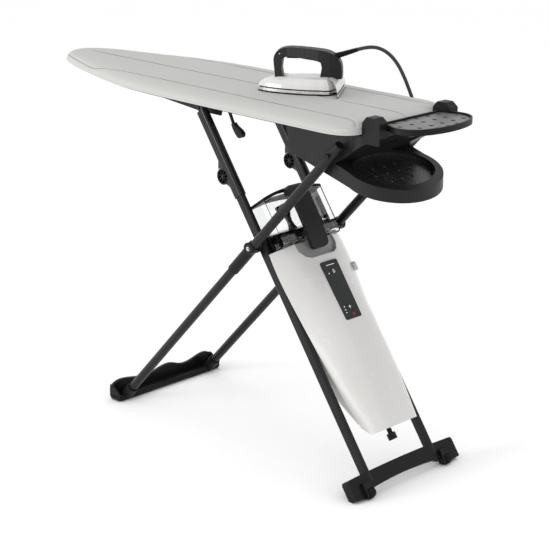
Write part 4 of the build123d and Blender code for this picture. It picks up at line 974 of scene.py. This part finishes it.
# filler funnel and float rod standing in the clear tank
def tank_inside():
    bm = bmesh.new()
    lathe(bm, [(-82, 22), (-78, 22), (-70, 20), (-60, 13), (-48, 8.5), (-34, 7.5), (-22, 9.5), (-14, 13), (-12, 13)],
          leg(0, -24, 24), SB, 36)
    lathe(bm, [(-72, 3.2), (24, 3.2)], leg(0, 22, 40), SB, 16)
    lathe(bm, [(-30, 11), (-29, 12), (-16, 12), (-15, 11)], leg(0, 22, 40), SB, 28)
    bm_object("Tank_funnel", bm, MATS["plastic_gloss_black"], "tank", angle=35)
    bm = bmesh.new()
    # moulded level lines on the front wall
    t = NB * 0.0004
    for s in (-74, -56, -38):
        prism(bm, [leg(s - 0.4, -72, 55.9), leg(s + 0.4, -72, 55.9), leg(s + 0.4, -52, 55.9), leg(s - 0.4, -52, 55.9)], t)
    prism(bm, [leg(-80, -51.2, 55.9), leg(20, -51.2, 55.9), leg(20, -50.4, 55.9), leg(-80, -50.4, 55.9)], t)
    bm_object("Tank_marks", bm, MATS["plastic_dark_grey"], "tank", smooth=False)


tank_inside()

# bright studs on the tray floor and black rims round the rest's holes
def small_marks():
    tz = Vector((0.305, 0, 1)).normalized()
    tx = Vector((1, 0, -0.305)).normalized()
    o = Vector((0.545, 0, 0.8235))
    bm = bmesh.new()
    for u, v in ((-34, -40), (-34, 0), (-34, 40), (-2, -62), (-2, -20), (-2, 22), (-2, 64), (32, -40), (32, 0), (32, 40)):
        # the floor's local Y runs along the table's Y
        dome(bm, o + tx * (u / 1000) + Vector((0, v / 1000, 0)) - tz * 0.0137, tz, 0.0039, 0.0017)
    st = moulded("Stud_grey", (0.035, 0.035, 0.036), 0.24)
    bm_object("Tray_studs", bm, st, "table")
    bm = bmesh.new()
    up = Vector((0, 0, 0.0002))
    for x, y in ((605, -74), (606, -34), (607, 6), (608, 46), (610, 84), (640, -92), (643, -52), (644, -12), (645, 28),
                 (647, 68), (681, -68), (682, -28), (683, 12), (684, 52), (684, 90), (711, -36), (712, 0), (711, 36)):
        ring = lambda r: [Vector(((x + r * math.cos(t)) / 1000, (y + r * math.sin(t)) / 1000, 0.9553))
                          for t in (2 * math.pi * k / 28 for k in range(28))]
        ring_prism(bm, ring(6.3), ring(4.7), up)
    bm_object("Rest_hole_rims", bm, MATS["plastic_black"], "table", smooth=False)


small_marks()
#==PIECES2_END==

#==TAIL==
# ------------------------------------------------------------------ floor and light
def stage():
    me = bpy.data.meshes.new("Floor")
    R = 9.0
    me.from_pydata([(-R, -R, -0.0004), (R, -R, -0.0004), (R, R, -0.0004), (-R, R, -0.0004)], [], [(0, 1, 2, 3)])
    f = bpy.data.objects.new("Floor", me)
    scene.collection.objects.link(f)
    m = Mat("Floor_paper", (0.985, 0.985, 0.985), 0.85)
    m.color(m.ramp(m.noise(3, 3), [(0.3, (0.98, 0.98, 0.98)), (0.7, (0.99, 0.99, 0.99))]))
    me.materials.append(m.m)
    w = scene.world or bpy.data.worlds.new("World")
    scene.world = w
    w.use_nodes = True
    bg = w.node_tree.nodes["Background"]
    bg.inputs["Color"].default_value = (1, 1, 1, 1)
    bg.inputs["Strength"].default_value = 1.0

    def area(name, loc, target, size, power, size_y=None):
        d = bpy.data.lights.new(name, "AREA")
        d.energy = power
        d.size = size
        if size_y:
            d.shape = "RECTANGLE"
            d.size_y = size_y
        o = bpy.data.objects.new(name, d)
        scene.collection.objects.link(o)
        o.location = loc
        o.rotation_euler = (Vector(target) - Vector(loc)).to_track_quat("-Z", "Y").to_euler()

    area("Key", (-1.4, -4.0, 1.6), (0.0, 0, 0.75), 1.8, 80)
    area("Fill", (3.6, 0.6, 2.0), (0.2, 0, 0.6), 1.6, 6, 2.4)
    area("Top", (0.2, 0.4, 3.8), (0, 0, 0.8), 2.6, 6)
    area("Front_low", (1.2, -3.2, 0.5), (0.3, 0, 0.4), 1.4, 9)
    scene.view_settings.view_transform = "Standard"
    scene.view_settings.look = "None"


stage()
